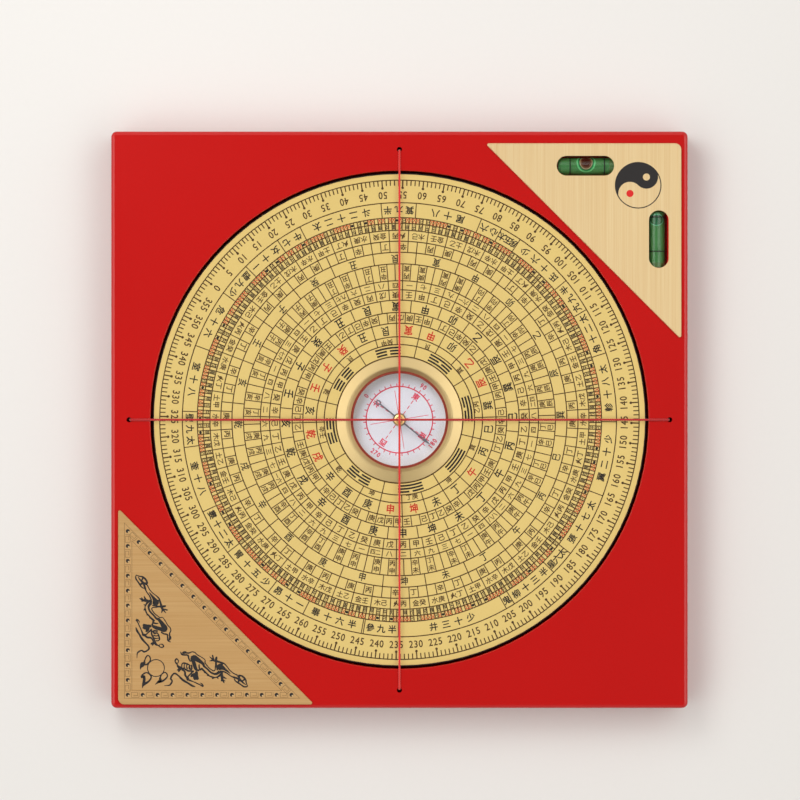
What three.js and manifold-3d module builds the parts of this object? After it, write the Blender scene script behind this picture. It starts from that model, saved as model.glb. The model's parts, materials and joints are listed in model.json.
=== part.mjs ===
// A feng shui compass: a square board with a turning dial, a magnetic compass in the dial's centre, two
// crossed sighting threads, and two spirit levels under a corner plate. Millimetres. The board lies flat,
// the dial faces +Z, the picture's right is +X and its top is +Y. The origin is the middle of the board's
// underside.
import * as THREE from "three";
import { mergeVertices } from "three/addons/utils/BufferGeometryUtils.js";
import Module from "manifold-3d";

const wasm = await Module();
wasm.setup();

// Dial
const dialRadius = 88.9;
const dialThickness = 9.2;
const dialEdgeChamfer = 0.5;
const faceThickness = 0.8;
const faceMargin = 0.7; // black rim of the dial left bare round the brass face
const faceRimWidth = 2.2; // plain rim outside the degree scale, which slopes down
const faceRimDrop = 0.3;

// Board
const boardThickness = 18;
const boardRim = 14.1; // board left beside the recess at the middle of each side
const boardCornerRadius = 2;
const boardEdgeRadius = 1.3;
const recessClearance = 0.5; // between the dial and the wall of its recess
const recessChamfer = 0.3;
const dialDrop = 1.4; // the dial's face lies this far below the board's face
const fingerHoleRadius = 8; // the dial is pushed round, or out, through this hole in the back

// Glide ring
const glideThickness = 0.8;
const glideInnerRadius = 52;
const glideWidth = 18;
const runningGap = 0.3;

// Compass capsule
const cupRadius = 20.1;
const cupWall = 2.5;
const cupBase = 1;
const cupFit = 0.3; // between the cup and the dial's bore
const cardThickness = 0.6;
const cardFit = 0.2; // between the card and the cup's wall
const chamberHeight = 4.7; // from the card up to the glass
const lensThickness = 1.2;
const lensFit = 0.15;
const lensSeatWidth = 1.3;
const gasketThickness = 0.3;
const gasketShow = 0.25; // the gasket shows this far inside the bezel
const bezelSink = 0.2; // the bezel's lip reaches this far below the dial's face
const bezelWidth = 6.1;
const bezelLipIn = 1.85; // from the glass's edge in to the bezel's lip
const bezelCrestIn = 2.6; // from the lip to the crest
const bezelLipHeight = 0.3;
const bezelEdgeHeight = 0.25;
const bezelThreadGap = 0.35; // the crest stays this far under the threads

// Needle, its cap and its pivot
const needleBearing = -128.9; // degrees from +Y to the arrow at rest, anticlockwise seen from above
const needleTipGap = 3; // from the arrow's point out to the cup's wall
const needleTailReach = 9.8; // pivot to the middle of the tail's eye
const needleThickness = 0.3;
const needleShaftWidth = 0.5;
const needleHeadLength = 3.4;
const needleHeadWidth = 1.3;
const needleEyeRadius = 0.95;
const needleEyeHole = 0.5;
const needleHubRadius = 1.85;
const capRadius = 1.7;
const capHeight = 2.2;
const capDomeHeight = 0.9;
const capNeckRadius = 1.05;
const capFootHeight = 0.35;
const capBoreRadius = 0.65;
const capBoreDepth = 1.5;
const capFit = 0.3; // between the cap's neck and the needle's hole, and over the pivot's point
const capLensGap = 0.5;
const pivotRadius = 0.35;
const pivotPointLength = 1;
const pivotPointRadius = 0.08;
const pivotFootRadius = 2.1;
const pivotFootHeight = 0.5;
const pivotFootFit = 0.3; // between the pivot's foot and the hole in the card

// Crossed threads
const threadDiameter = 0.7;
const threadLift = 0.05; // between the threads and what they lie on
const threadHoleRadius = 0.9;
const threadHoleOut = 7.6; // from the recess's wall to the middle of a thread hole
const threadBend = 0.9;
const knotRadius = 1.3;
const knotHeight = 2.2;
const knotFit = 0.1;
const knotPocketRadius = 2.3;
const knotPocketDepth = 3;

// Corner plates
const plateThickness = 0.8;
const plateGap = 2.4; // from the level plate's long edge to the recess
const plateCornerRadius = 2.3;
const plateTipRadius = 0.6;
const plateBevel = 0.2;
const levelPlateRightInset = 2.4;
const levelPlateTopInset = 4.3;
const ornamentPlateLeftInset = 2.6;
const ornamentPlateBottomInset = 1.4;
const windowLength = 20.6;
const windowWidth = 7.1;
const windowAlong = 34.4; // from the plate's square corner, along an edge, to a window's middle
const windowAside = 8.1; // from that edge to the window's middle

// Spirit levels
const vialRadius = 3.15;
const vialWall = 0.6;
const vialLength = 20;
const vialEndWall = 0.8;
const vialPlugLength = 1.6;
const vialPlugFit = 0.05;
const vialPlateGap = 0.2; // from the vial up to the plate
const vialPocketSide = 0.65; // pocket left beside the vial
const vialPocketEnd = 1;
const vialPocketUnder = 0.3;
const acrossVialShift = 0.3; // the vials aren't quite centred in their windows
const uprightVialShift = 0.7;
const fluidFit = 0.1;
const fluidLevel = 0.9; // from the vial's axis up to the flat that the bubble runs over
const bubbleLength = 4.9;
const bubbleWidth = 2.6;
const bubbleThickness = 1;
const bubbleHeight = 1.65; // from the vial's axis up to the bubble's middle
const bubbleEndGap = 0.3;

// Fineness
const dialSides = 96;
const capsuleSides = 64;
const smallSides = 24;
const slotSides = 12; // round the half circle at a slot's end
const threadSides = 8;
const edgeSteps = 3;
const bendSteps = 5;
const crestSteps = 5;
const weldDistance = 0.0001;
const overrun = 1; // cutters reach this far past what they cut

// Places that follow from the sizes
const halfTurn = Math.PI;
const quarterTurn = halfTurn / 2;
const recessRadius = dialRadius + recessClearance;
const halfSide = recessRadius + boardRim;
const faceTop = boardThickness - dialDrop;
const dialTop = faceTop - faceThickness;
const dialBottom = dialTop - dialThickness;
const recessFloor = dialBottom - runningGap - glideThickness;
const faceRadius = dialRadius - faceMargin;
const boreRadius = cupRadius + cupFit;
const cupInnerRadius = cupRadius - cupWall;
const gasketTop = faceTop - bezelSink;
const lensTop = gasketTop - gasketThickness;
const lensBottom = lensTop - lensThickness;
const cardTop = lensBottom - chamberHeight;
const cupFloor = cardTop - cardThickness;
const cupBottom = cupFloor - cupBase;
const lensRadius = cupInnerRadius + lensSeatWidth - lensFit;
const bezelLipRadius = lensRadius - bezelLipIn;
const needleReach = cupInnerRadius - needleTipGap;
const capTop = lensBottom - capLensGap;
const capBottom = capTop - capHeight;
const capShoulder = capTop - capDomeHeight;
const needleMiddle = (capShoulder + capBottom + capFootHeight) / 2;
const needleHoleRadius = capNeckRadius + capFit;
const pivotTip = capBottom + capBoreDepth - capFit;
const threadRadius = threadDiameter / 2;
const threadRun = boardThickness + threadLift + threadRadius;
const threadHoleOffset = recessRadius + threadHoleOut;
const threadCrossing = threadRun + threadDiameter + threadLift;
const bezelCrest = threadRun - threadRadius - bezelThreadGap;
const levelCorner = [halfSide - levelPlateRightInset, halfSide - levelPlateTopInset];
const ornamentCorner = [ornamentPlateLeftInset - halfSide, ornamentPlateBottomInset - halfSide];
const plateLeg = levelCorner[0] + levelCorner[1] - Math.SQRT2 * (recessRadius + plateGap);
const vialAxisHeight = boardThickness - vialPlateGap - vialRadius;
const vialBoreRadius = vialRadius - vialWall;
const acrossVialPlace = [levelCorner[0] - windowAlong + acrossVialShift, levelCorner[1] - windowAside];
const uprightVialPlace = [levelCorner[0] - windowAside - uprightVialShift, levelCorner[1] - windowAlong];

// Finishes
function finish(color, roughness, metalness, opacity = 1) {
  return new THREE.MeshStandardMaterial({
    color,
    roughness,
    metalness,
    opacity,
    transparent: opacity < 1,
  });
}

const redBakelite = finish(0xcd1a14, 0.35, 0);
const blackBakelite = finish(0x151313, 0.4, 0);
const etchedBrass = finish(0xe6cf85, 0.4, 1);
const turnedBrass = finish(0xe3c987, 0.25, 1);
const brushedBrass = finish(0xd9bd86, 0.4, 1);
const clearGlass = finish(0xf4f8fa, 0.05, 0, 0.25);
const redRubber = finish(0x9a2a1c, 0.7, 0);
const printedCard = finish(0xe6e1ee, 0.7, 0);
const bluedSteel = finish(0x55555c, 0.35, 1);
const redThread = finish(0xd8322a, 0.8, 0);
const greenFluid = finish(0x2f7a52, 0.1, 0, 0.8);
const airBubble = finish(0xa9e6b4, 0.05, 0, 0.5);
const greyFelt = finish(0x3b3a3a, 0.95, 0);
const greenPlug = finish(0x3d6b48, 0.5, 0);

// A geometry as a closed solid that can be joined and cut.
function solidOf(geometry) {
  const loose = geometry.index ? geometry.toNonIndexed() : geometry.clone();
  loose.deleteAttribute("normal");
  loose.deleteAttribute("uv");
  const joined = mergeVertices(loose, weldDistance);
  const mesh = new wasm.Mesh({
    numProp: 3,
    vertProperties: joined.attributes.position.array,
    triVerts: new Uint32Array(joined.index.array),
  });
  return new wasm.Manifold(mesh);
}

// A solid as a geometry again.
function geometryOf(solid) {
  const mesh = solid.getMesh();
  const geometry = new THREE.BufferGeometry();
  geometry.setAttribute("position", new THREE.BufferAttribute(mesh.vertProperties, mesh.numProp));
  geometry.setIndex(new THREE.BufferAttribute(mesh.triVerts, 1));
  geometry.computeVertexNormals();
  return geometry;
}

// One geometry with others cut out of it.
function cutBy(geometry, cutters) {
  const left = cutters.reduce((solid, cutter) => solid.subtract(solidOf(cutter)), solidOf(geometry));
  return geometryOf(left);
}

// Several geometries that overlap, joined into one.
function joinedFrom(geometries) {
  const [first, ...others] = geometries.map(solidOf);
  return geometryOf(others.reduce((solid, other) => solid.add(other), first));
}

// A profile of [radius, height] corners turned about Z. It starts and ends on the axis, lower end first.
function turned(profile, sides) {
  const points = profile.map(([radius, height]) => new THREE.Vector2(radius, height));
  const geometry = new THREE.LatheGeometry(points, sides);
  return geometry.rotateX(quarterTurn);
}

// The same for a ring, whose profile runs round anticlockwise and closes on itself.
function turnedRing(profile, sides) {
  return turned([...profile, profile[0]], sides);
}

// A plain round bar between two heights.
function bar(radius, low, high, sides) {
  return turned([[0, low], [radius, low], [radius, high], [0, high]], sides);
}

// An outline raised from one height to another.
function raised(shape, low, high) {
  const settings = { depth: high - low, bevelEnabled: false, curveSegments: slotSides };
  return new THREE.ExtrudeGeometry(shape, settings).translate(0, 0, low);
}

// An outline raised with its upper and lower edges rounded or bevelled inwards.
function raisedWithEdge(shape, low, high, edge, steps) {
  const settings = {
    depth: high - low - 2 * edge,
    bevelThickness: edge,
    bevelSize: edge,
    bevelOffset: -edge,
    bevelSegments: steps,
    curveSegments: edgeSteps,
  };
  return new THREE.ExtrudeGeometry(shape, settings).translate(0, 0, low + edge);
}

// A closed outline through [x, y, radius] corners, anticlockwise, each corner rounded by its radius.
function roundedOutline(corners) {
  const shape = new THREE.Shape();
  corners.forEach(([x, y, radius], i) => {
    const corner = new THREE.Vector2(x, y);
    const [back, ahead] = [corners.at(i - 1), corners[(i + 1) % corners.length]].map(
      ([otherX, otherY]) => new THREE.Vector2(otherX - x, otherY - y).normalize(),
    );
    const halfAngle = Math.acos(back.dot(ahead)) / 2;
    const setBack = radius / Math.tan(halfAngle);
    const inward = back.clone().add(ahead).normalize();
    const centre = corner.clone().addScaledVector(inward, radius / Math.sin(halfAngle));
    const start = corner.clone().addScaledVector(back, setBack).sub(centre);
    const end = corner.clone().addScaledVector(ahead, setBack).sub(centre);
    shape.absarc(centre.x, centre.y, radius, start.angle(), end.angle(), false);
  });
  shape.closePath();
  return shape;
}

// A slot outline with round ends, its length along X.
function slotOutline(length, width) {
  const radius = width / 2;
  const reach = length / 2 - radius;
  const shape = new THREE.Shape();
  shape.absarc(reach, 0, radius, -quarterTurn, quarterTurn, false);
  shape.absarc(-reach, 0, radius, quarterTurn, quarterTurn + halfTurn, false);
  shape.closePath();
  return shape;
}

// Heights and radii along a quarter of an ellipse, from [radius, height] one to the other. The curve is
// level at its second end when risingFirst is true, and at its first end otherwise.
function quarterCurve([fromRadius, fromHeight], [toRadius, toHeight], risingFirst) {
  return Array.from({ length: crestSteps + 1 }, (_, i) => {
    const angle = (quarterTurn * i) / crestSteps;
    const along = risingFirst ? 1 - Math.cos(angle) : Math.sin(angle);
    const up = risingFirst ? Math.sin(angle) : 1 - Math.cos(angle);
    return [fromRadius + (toRadius - fromRadius) * along, fromHeight + (toHeight - fromHeight) * up];
  });
}

// A path through points, whose even steps fall on the points themselves.
class PointPath extends THREE.Curve {
  constructor(points) {
    super();
    this.points = points;
  }

  getPoint(share) {
    const place = share * (this.points.length - 1);
    const index = Math.min(Math.floor(place), this.points.length - 2);
    return this.points[index].clone().lerp(this.points[index + 1], place - index);
  }

  getPointAt(share) {
    return this.getPoint(share);
  }

  getTangentAt(share, target) {
    return this.getTangent(share, target);
  }
}

function named(name, geometry, material) {
  const mesh = new THREE.Mesh(geometry, material);
  mesh.name = name;
  return mesh;
}

// Board: a rounded square with the dial's recess, the finger hole, two vial pockets and four thread holes.
function boardGeometry() {
  const corners = [[1, 1], [-1, 1], [-1, -1], [1, -1]];
  const square = roundedOutline(
    corners.map(([x, y]) => [x * halfSide, y * halfSide, boardCornerRadius]),
  );
  const block = raisedWithEdge(square, 0, boardThickness, boardEdgeRadius, edgeSteps);
  const above = boardThickness + overrun;
  const recess = turned(
    [
      [0, recessFloor],
      [recessRadius, recessFloor],
      [recessRadius, boardThickness - recessChamfer],
      [recessRadius + recessChamfer, boardThickness],
      [recessRadius + recessChamfer, above],
      [0, above],
    ],
    dialSides,
  );
  const fingerHole = bar(fingerHoleRadius, -overrun, recessFloor + overrun, smallSides);
  const threadHoles = [0, 1, 2, 3].map((side) => {
    const hole = turned(
      [
        [0, -overrun],
        [knotPocketRadius, -overrun],
        [knotPocketRadius, knotPocketDepth],
        [threadHoleRadius, knotPocketDepth],
        [threadHoleRadius, above],
        [0, above],
      ],
      smallSides,
    );
    return hole.translate(threadHoleOffset, 0, 0).rotateZ(side * quarterTurn);
  });
  const pocketOutline = slotOutline(
    vialLength + 2 * vialPocketEnd + 2 * vialPocketSide,
    2 * (vialRadius + vialPocketSide),
  );
  const pocketFloor = vialAxisHeight - vialRadius - vialPocketUnder;
  const pockets = [
    raised(pocketOutline, pocketFloor, above).translate(...acrossVialPlace, 0),
    raised(pocketOutline, pocketFloor, above).rotateZ(quarterTurn).translate(...uprightVialPlace, 0),
  ];
  return cutBy(block, [recess, fingerHole, ...threadHoles, ...pockets]);
}

// Glide ring: the felt that the dial turns over.
function glideRingGeometry() {
  const outer = glideInnerRadius + glideWidth;
  const top = recessFloor + glideThickness;
  return turnedRing(
    [[glideInnerRadius, recessFloor], [outer, recessFloor], [outer, top], [glideInnerRadius, top]],
    dialSides,
  );
}

// Dial core: the black disc that carries the brass face, with a blind bore for the capsule.
function dialCoreGeometry() {
  return turned(
    [
      [0, dialBottom],
      [dialRadius - dialEdgeChamfer, dialBottom],
      [dialRadius, dialBottom + dialEdgeChamfer],
      [dialRadius, dialTop - dialEdgeChamfer],
      [dialRadius - dialEdgeChamfer, dialTop],
      [boreRadius, dialTop],
      [boreRadius, cupBottom],
      [0, cupBottom],
    ],
    dialSides,
  );
}

// Dial face: the brass sheet with the scales, its plain rim sloping down to the edge.
function dialFaceGeometry() {
  return turnedRing(
    [
      [boreRadius, dialTop],
      [faceRadius, dialTop],
      [faceRadius, faceTop - faceRimDrop],
      [faceRadius - faceRimWidth, faceTop],
      [boreRadius, faceTop],
    ],
    dialSides,
  );
}

// Capsule cup: the brass well that holds the card, the pivot and the glass on its ledge.
function capsuleCupGeometry() {
  const seatRadius = lensRadius + lensFit;
  return turned(
    [
      [0, cupBottom],
      [cupRadius, cupBottom],
      [cupRadius, lensTop],
      [seatRadius, lensTop],
      [seatRadius, lensBottom],
      [cupInnerRadius, lensBottom],
      [cupInnerRadius, cupFloor],
      [0, cupFloor],
    ],
    capsuleSides,
  );
}

// Compass card: the printed disc on the cup's floor, open round the pivot's foot.
function compassCardGeometry() {
  const inner = pivotFootRadius + pivotFootFit;
  const outer = cupInnerRadius - cardFit;
  return turnedRing([[inner, cupFloor], [outer, cupFloor], [outer, cardTop], [inner, cardTop]], capsuleSides);
}

function lensGeometry() {
  return bar(lensRadius, lensBottom, lensTop, capsuleSides);
}

function lensGasketGeometry() {
  const inner = bezelLipRadius - gasketShow;
  const profile = [[inner, lensTop], [lensRadius, lensTop], [lensRadius, gasketTop], [inner, gasketTop]];
  return turnedRing(profile, capsuleSides);
}

// Capsule bezel: the rounded brass ring that holds the glass down and covers the edge of the face's hole.
function capsuleBezelGeometry() {
  const outer = bezelLipRadius + bezelWidth;
  const crest = [bezelLipRadius + bezelCrestIn, bezelCrest];
  const edge = [outer, faceTop + bezelEdgeHeight];
  const shoulder = lensRadius + lensFit;
  return turnedRing(
    [
      [bezelLipRadius, gasketTop],
      [shoulder, gasketTop],
      [shoulder, faceTop],
      [outer, faceTop],
      ...quarterCurve(edge, crest, true),
      ...quarterCurve(crest, [bezelLipRadius, gasketTop + bezelLipHeight], false).slice(1),
    ],
    capsuleSides,
  );
}

// Needle pivot: a steel pin with a ground point, riveted into a foot on the cup's floor.
function needlePivotGeometry() {
  return turned(
    [
      [0, cupFloor],
      [pivotFootRadius, cupFloor],
      [pivotFootRadius, cupFloor + pivotFootHeight],
      [pivotRadius, cupFloor + pivotFootHeight],
      [pivotRadius, pivotTip - pivotPointLength],
      [pivotPointRadius, pivotTip],
      [0, pivotTip],
    ],
    smallSides,
  );
}

// Needle: a thin steel blade with an arrow at one end, an eye at the other and a round hub.
function needleGeometry() {
  const low = needleMiddle - needleThickness / 2;
  const high = low + needleThickness;
  const half = needleShaftWidth / 2;
  const neck = needleReach - needleHeadLength;
  const blade = new THREE.Shape();
  blade.moveTo(-half, -needleTailReach);
  blade.lineTo(half, -needleTailReach);
  blade.lineTo(half, neck);
  blade.lineTo(needleHeadWidth / 2, neck);
  blade.lineTo(0, needleReach);
  blade.lineTo(-needleHeadWidth / 2, neck);
  blade.lineTo(-half, neck);
  blade.closePath();
  const hub = bar(needleHubRadius, low, high, smallSides);
  const eye = bar(needleEyeRadius, low, high, smallSides).translate(0, -needleTailReach, 0);
  const hubHole = bar(needleHoleRadius, low - overrun, high + overrun, smallSides);
  const eyeHole = bar(needleEyeHole, low - overrun, high + overrun, smallSides);
  const holes = [hubHole, eyeHole.translate(0, -needleTailReach, 0)];
  return cutBy(joinedFrom([raised(blade, low, high), hub, eye]), holes);
}

// Needle cap: a brass spool with a conical bearing, which the needle's hub is riveted round.
function needleCapGeometry() {
  const boreTop = capBottom + capBoreDepth;
  return turned(
    [
      [0, boreTop],
      [capBoreRadius, capBottom],
      [capRadius, capBottom],
      [capRadius, capBottom + capFootHeight],
      [capNeckRadius, capBottom + capFootHeight],
      [capNeckRadius, capShoulder],
      ...quarterCurve([capRadius, capShoulder], [0, capTop], true),
    ],
    smallSides,
  );
}

// One sighting thread along X: out of its knot, up through the board, taut across at crossingHeight in the
// middle, and down to the other knot.
function threadGeometry(crossingHeight) {
  const knotTop = knotPocketDepth - knotFit;
  const knotMiddle = knotTop - knotHeight / 2;
  const bendX = threadHoleOffset - threadBend;
  const bendZ = threadRun - threadBend;
  const bend = Array.from({ length: bendSteps + 1 }, (_, i) => {
    const angle = (quarterTurn * i) / bendSteps;
    return [bendX + threadBend * Math.cos(angle), bendZ + threadBend * Math.sin(angle)];
  });
  const half = [[threadHoleOffset, knotMiddle], ...bend];
  const otherHalf = half.map(([x, z]) => [-x, z]).reverse();
  const route = [...half, [0, crossingHeight], ...otherHalf].map(([x, z]) => new THREE.Vector3(x, 0, z));
  const section = new THREE.Shape();
  const firstSide = halfTurn / threadSides;
  section.absarc(0, 0, threadRadius, firstSide, firstSide + 2 * halfTurn, false);
  const tube = new THREE.ExtrudeGeometry(section, {
    steps: route.length - 1,
    curveSegments: threadSides,
    extrudePath: new PointPath(route),
  });
  const knots = [1, -1].map((end) =>
    new THREE.SphereGeometry(knotRadius, threadSides, threadSides)
      .rotateX(quarterTurn)
      .scale(1, 1, knotHeight / (2 * knotRadius))
      .translate(end * threadHoleOffset, 0, knotMiddle),
  );
  return joinedFrom([tube, ...knots]);
}

// Corner plate: a right triangle with its square corner at the origin and its legs along -X and -Y.
function cornerPlateOutline() {
  return roundedOutline([
    [0, 0, plateCornerRadius],
    [-plateLeg, 0, plateTipRadius],
    [0, -plateLeg, plateTipRadius],
  ]);
}

function plateBlank() {
  return raisedWithEdge(cornerPlateOutline(), 0, plateThickness, plateBevel, 1);
}

// Level plate: the corner plate with a window over each vial.
function levelPlateGeometry() {
  const window = raised(slotOutline(windowLength, windowWidth), -overrun, plateThickness + overrun);
  const across = window.clone().translate(-windowAlong, -windowAside, 0);
  const upright = window.clone().rotateZ(quarterTurn).translate(-windowAside, -windowAlong, 0);
  return cutBy(plateBlank(), [across, upright]);
}

// Places in a vial run from its rounded closed end, at -X, to its plug, at +X.
const vialEnd = vialLength / 2;
const vialBoreStart = vialEndWall - vialEnd;
const vialBoreEnd = vialEnd - vialPlugLength;
const bubbleFirst = vialBoreStart + bubbleEndGap + bubbleLength / 2;

// Vial tube: a clear tube, closed and rounded at one end.
function vialTubeGeometry() {
  const round = vialWall;
  return turned(
    [
      [0, -vialEnd],
      [vialRadius - round, -vialEnd],
      [vialRadius, round - vialEnd],
      [vialRadius, vialEnd],
      [vialBoreRadius, vialEnd],
      [vialBoreRadius, vialBoreStart],
      [0, vialBoreStart],
    ],
    smallSides,
  ).rotateY(quarterTurn);
}

function vialPlugGeometry() {
  return bar(vialBoreRadius - vialPlugFit, vialBoreEnd, vialEnd, smallSides).rotateY(quarterTurn);
}

// Vial fluid: it fills the bore up to the flat track that the bubble runs along.
function vialFluidGeometry() {
  const radius = vialBoreRadius - fluidFit;
  const fill = bar(radius, vialBoreStart + fluidFit, vialBoreEnd - fluidFit, smallSides).rotateY(quarterTurn);
  const track = new THREE.BoxGeometry(vialLength, 2 * radius, radius).translate(0, 0, fluidLevel + radius / 2);
  return cutBy(fill, [track]);
}

function vialBubbleGeometry(place) {
  return new THREE.SphereGeometry(1, smallSides / 2, smallSides / 2)
    .scale(bubbleLength / 2, bubbleWidth / 2, bubbleThickness / 2)
    .translate(place, 0, bubbleHeight);
}

// A whole spirit level, its bubble at bubblePlace along it.
function vial(name, bubblePlace) {
  const group = new THREE.Group();
  group.add(
    named(`${name}_vial_tube`, vialTubeGeometry(), clearGlass),
    named(`${name}_vial_plug`, vialPlugGeometry(), greenPlug),
    named(`${name}_vial_fluid`, vialFluidGeometry(), greenFluid),
    named(`${name}_vial_bubble`, vialBubbleGeometry(bubblePlace), airBubble),
  );
  return group;
}

const compass = new THREE.Group();
compass.add(
  named("board", boardGeometry(), redBakelite),
  named("glide_ring", glideRingGeometry(), greyFelt),
  named("dial_core", dialCoreGeometry(), blackBakelite),
  named("dial_face", dialFaceGeometry(), etchedBrass),
  named("capsule_cup", capsuleCupGeometry(), turnedBrass),
  named("compass_card", compassCardGeometry(), printedCard),
  named("needle_pivot", needlePivotGeometry(), bluedSteel),
  named("lens", lensGeometry(), clearGlass),
  named("lens_gasket", lensGasketGeometry(), redRubber),
  named("capsule_bezel", capsuleBezelGeometry(), turnedBrass),
);

const needleGroup = new THREE.Group();
needleGroup.rotation.z = THREE.MathUtils.degToRad(needleBearing);
needleGroup.add(
  named("needle", needleGeometry(), bluedSteel),
  named("needle_cap", needleCapGeometry(), turnedBrass),
);
compass.add(needleGroup);

const acrossThread = named("across_thread", threadGeometry(threadRun), redThread);
const uprightThread = named("upright_thread", threadGeometry(threadCrossing), redThread);
uprightThread.rotation.z = quarterTurn;
compass.add(acrossThread, uprightThread);

const levelPlate = named("level_plate", levelPlateGeometry(), brushedBrass);
levelPlate.position.set(...levelCorner, boardThickness);
const ornamentPlate = named("ornament_plate", plateBlank(), brushedBrass);
ornamentPlate.position.set(...ornamentCorner, boardThickness);
ornamentPlate.rotation.z = halfTurn;
compass.add(levelPlate, ornamentPlate);

const acrossVial = vial("across", 0);
acrossVial.position.set(...acrossVialPlace, vialAxisHeight);
const uprightVial = vial("upright", bubbleFirst);
uprightVial.position.set(...uprightVialPlace, vialAxisHeight);
uprightVial.rotation.z = -quarterTurn;
compass.add(acrossVial, uprightVial);

export default compass;
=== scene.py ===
"""Looks of a feng shui compass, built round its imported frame.

The board lies flat with its dial up. Sizes are in millimetres until they become mesh coordinates. A
bearing is in degrees clockwise from the picture's top, and a scale's bearing is counted from its zero.
"""

from __future__ import annotations

import json
import logging
import math
from dataclasses import dataclass, field, replace
from enum import Enum
from typing import Any, Iterable, Sequence

import bmesh
import bpy
import numpy as np
from bpy.types import Material, Mesh, Node, NodeSocket, NodeTree, Object
from mathutils import Matrix, Vector
from mathutils.geometry import delaunay_2d_cdt

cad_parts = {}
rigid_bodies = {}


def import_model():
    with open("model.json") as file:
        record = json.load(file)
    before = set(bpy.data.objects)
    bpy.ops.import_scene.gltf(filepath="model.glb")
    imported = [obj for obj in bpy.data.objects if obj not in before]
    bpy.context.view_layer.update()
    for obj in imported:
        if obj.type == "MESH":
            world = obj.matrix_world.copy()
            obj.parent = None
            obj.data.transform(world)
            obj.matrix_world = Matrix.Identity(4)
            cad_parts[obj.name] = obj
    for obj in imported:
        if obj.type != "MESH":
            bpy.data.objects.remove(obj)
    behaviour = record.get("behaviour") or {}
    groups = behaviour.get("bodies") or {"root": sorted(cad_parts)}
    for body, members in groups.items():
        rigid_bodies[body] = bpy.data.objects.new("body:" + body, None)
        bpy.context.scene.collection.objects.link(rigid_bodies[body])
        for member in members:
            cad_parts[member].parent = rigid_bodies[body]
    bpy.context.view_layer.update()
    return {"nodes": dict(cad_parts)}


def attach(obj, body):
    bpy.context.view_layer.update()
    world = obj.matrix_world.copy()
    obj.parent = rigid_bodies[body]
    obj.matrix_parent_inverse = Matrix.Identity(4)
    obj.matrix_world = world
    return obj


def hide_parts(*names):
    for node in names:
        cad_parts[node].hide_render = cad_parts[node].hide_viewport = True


LOG = logging.getLogger("compass")
MM = 0.001
TURN = 2 * math.pi
WELD = 1e-7  # points closer than this are one, in metres
MIX_FIRST, MIX_SECOND, MIX_RESULT = 6, 7, 2  # sockets of a colour mix

ZERO = -54.2  # bearing of the scale's zero at rest
FACE = 16.6  # height of the dial's face
PLATE_TOP = 18.8  # height of the corner plates' faces
INK = 0.02  # ink stands this far over its ground, and reaches this far into it
LAYER = 0.004  # between the tops of marks that cross, so that no two tops meet

STEMS = "甲乙丙丁戊己庚辛壬癸"
BRANCHES = "子丑寅卯辰巳午未申酉戌亥"
MOUNTAINS = "子癸丑艮寅甲卯乙辰巽巳丙午丁未坤申庚酉辛戌乾亥壬"
RED_MOUNTAINS = frozenset("乾甲坤乙壬寅午戌癸申子辰")
ELEMENTS = "木火土金水"
NUMERALS = "一二三四六七八九"
BAR, DOT = "|", "•"  # plain shapes among the characters

RIM = "rim"  # attribute of a bubble: how far out a point stands, 0 to 1

Point = tuple[float, float]
Profile = tuple[Point, ...]
Stroke = tuple[tuple[float, float, float], ...]
Given = dict[str | int, Any]


def linear(colour: str) -> tuple[float, float, float, float]:
    """Turns an sRGB hex colour into linear light.

    Args:
        colour: six hex digits.

    Returns:
        Linear red, green and blue, and a full alpha.
    """
    channels = [int(colour[i : i + 2], 16) / 255 for i in (0, 2, 4)]
    red, green, blue = (c / 12.92 if c <= 0.04045 else ((c + 0.055) / 1.055) ** 2.4 for c in channels)
    return red, green, blue, 1.0


def add_node(tree: NodeTree, kind: str, given: Given | None = None) -> Node:
    """Adds a node with its settings and links.

    Args:
        tree: the tree that gets the node.
        kind: the node's type.
        given: what each property, or input by its name or number, gets. A socket is linked, and a node is
            linked by its first output.

    Returns:
        The new node.
    """
    node = tree.nodes.new(kind)
    for key, value in (given or {}).items():
        source = value.outputs[0] if isinstance(value, Node) else value
        if isinstance(source, NodeSocket):
            tree.links.new(source, node.inputs[key])
        elif isinstance(key, str) and hasattr(node, key):
            setattr(node, key, source)
        else:
            node.inputs[key].default_value = source
    return node


# Finishes


class Grain(Enum):
    """How the fine grain of a surface runs."""

    EVEN = "even"
    ALONG_X = "along x"
    ALONG_Y = "along y"
    ROUND = "round"


@dataclass(frozen=True)
class Surface:
    """What every finish has.

    Args:
        name: the material's name.
        colour: its main sRGB colour.
    """

    name: str
    colour: str

    def shader(self, tree: NodeTree) -> Node:
        """Builds the finish's own nodes and returns the shader at their end."""
        raise NotImplementedError

    def material(self) -> Material:
        """Builds the material.

        Returns:
            The finished material.
        """
        material = bpy.data.materials.new(self.name)
        material.use_nodes = True
        material.diffuse_color = linear(self.colour)
        tree = material.node_tree
        tree.nodes.clear()
        add_node(tree, "ShaderNodeOutputMaterial", {"Surface": self.shader(tree)})
        return material


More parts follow.
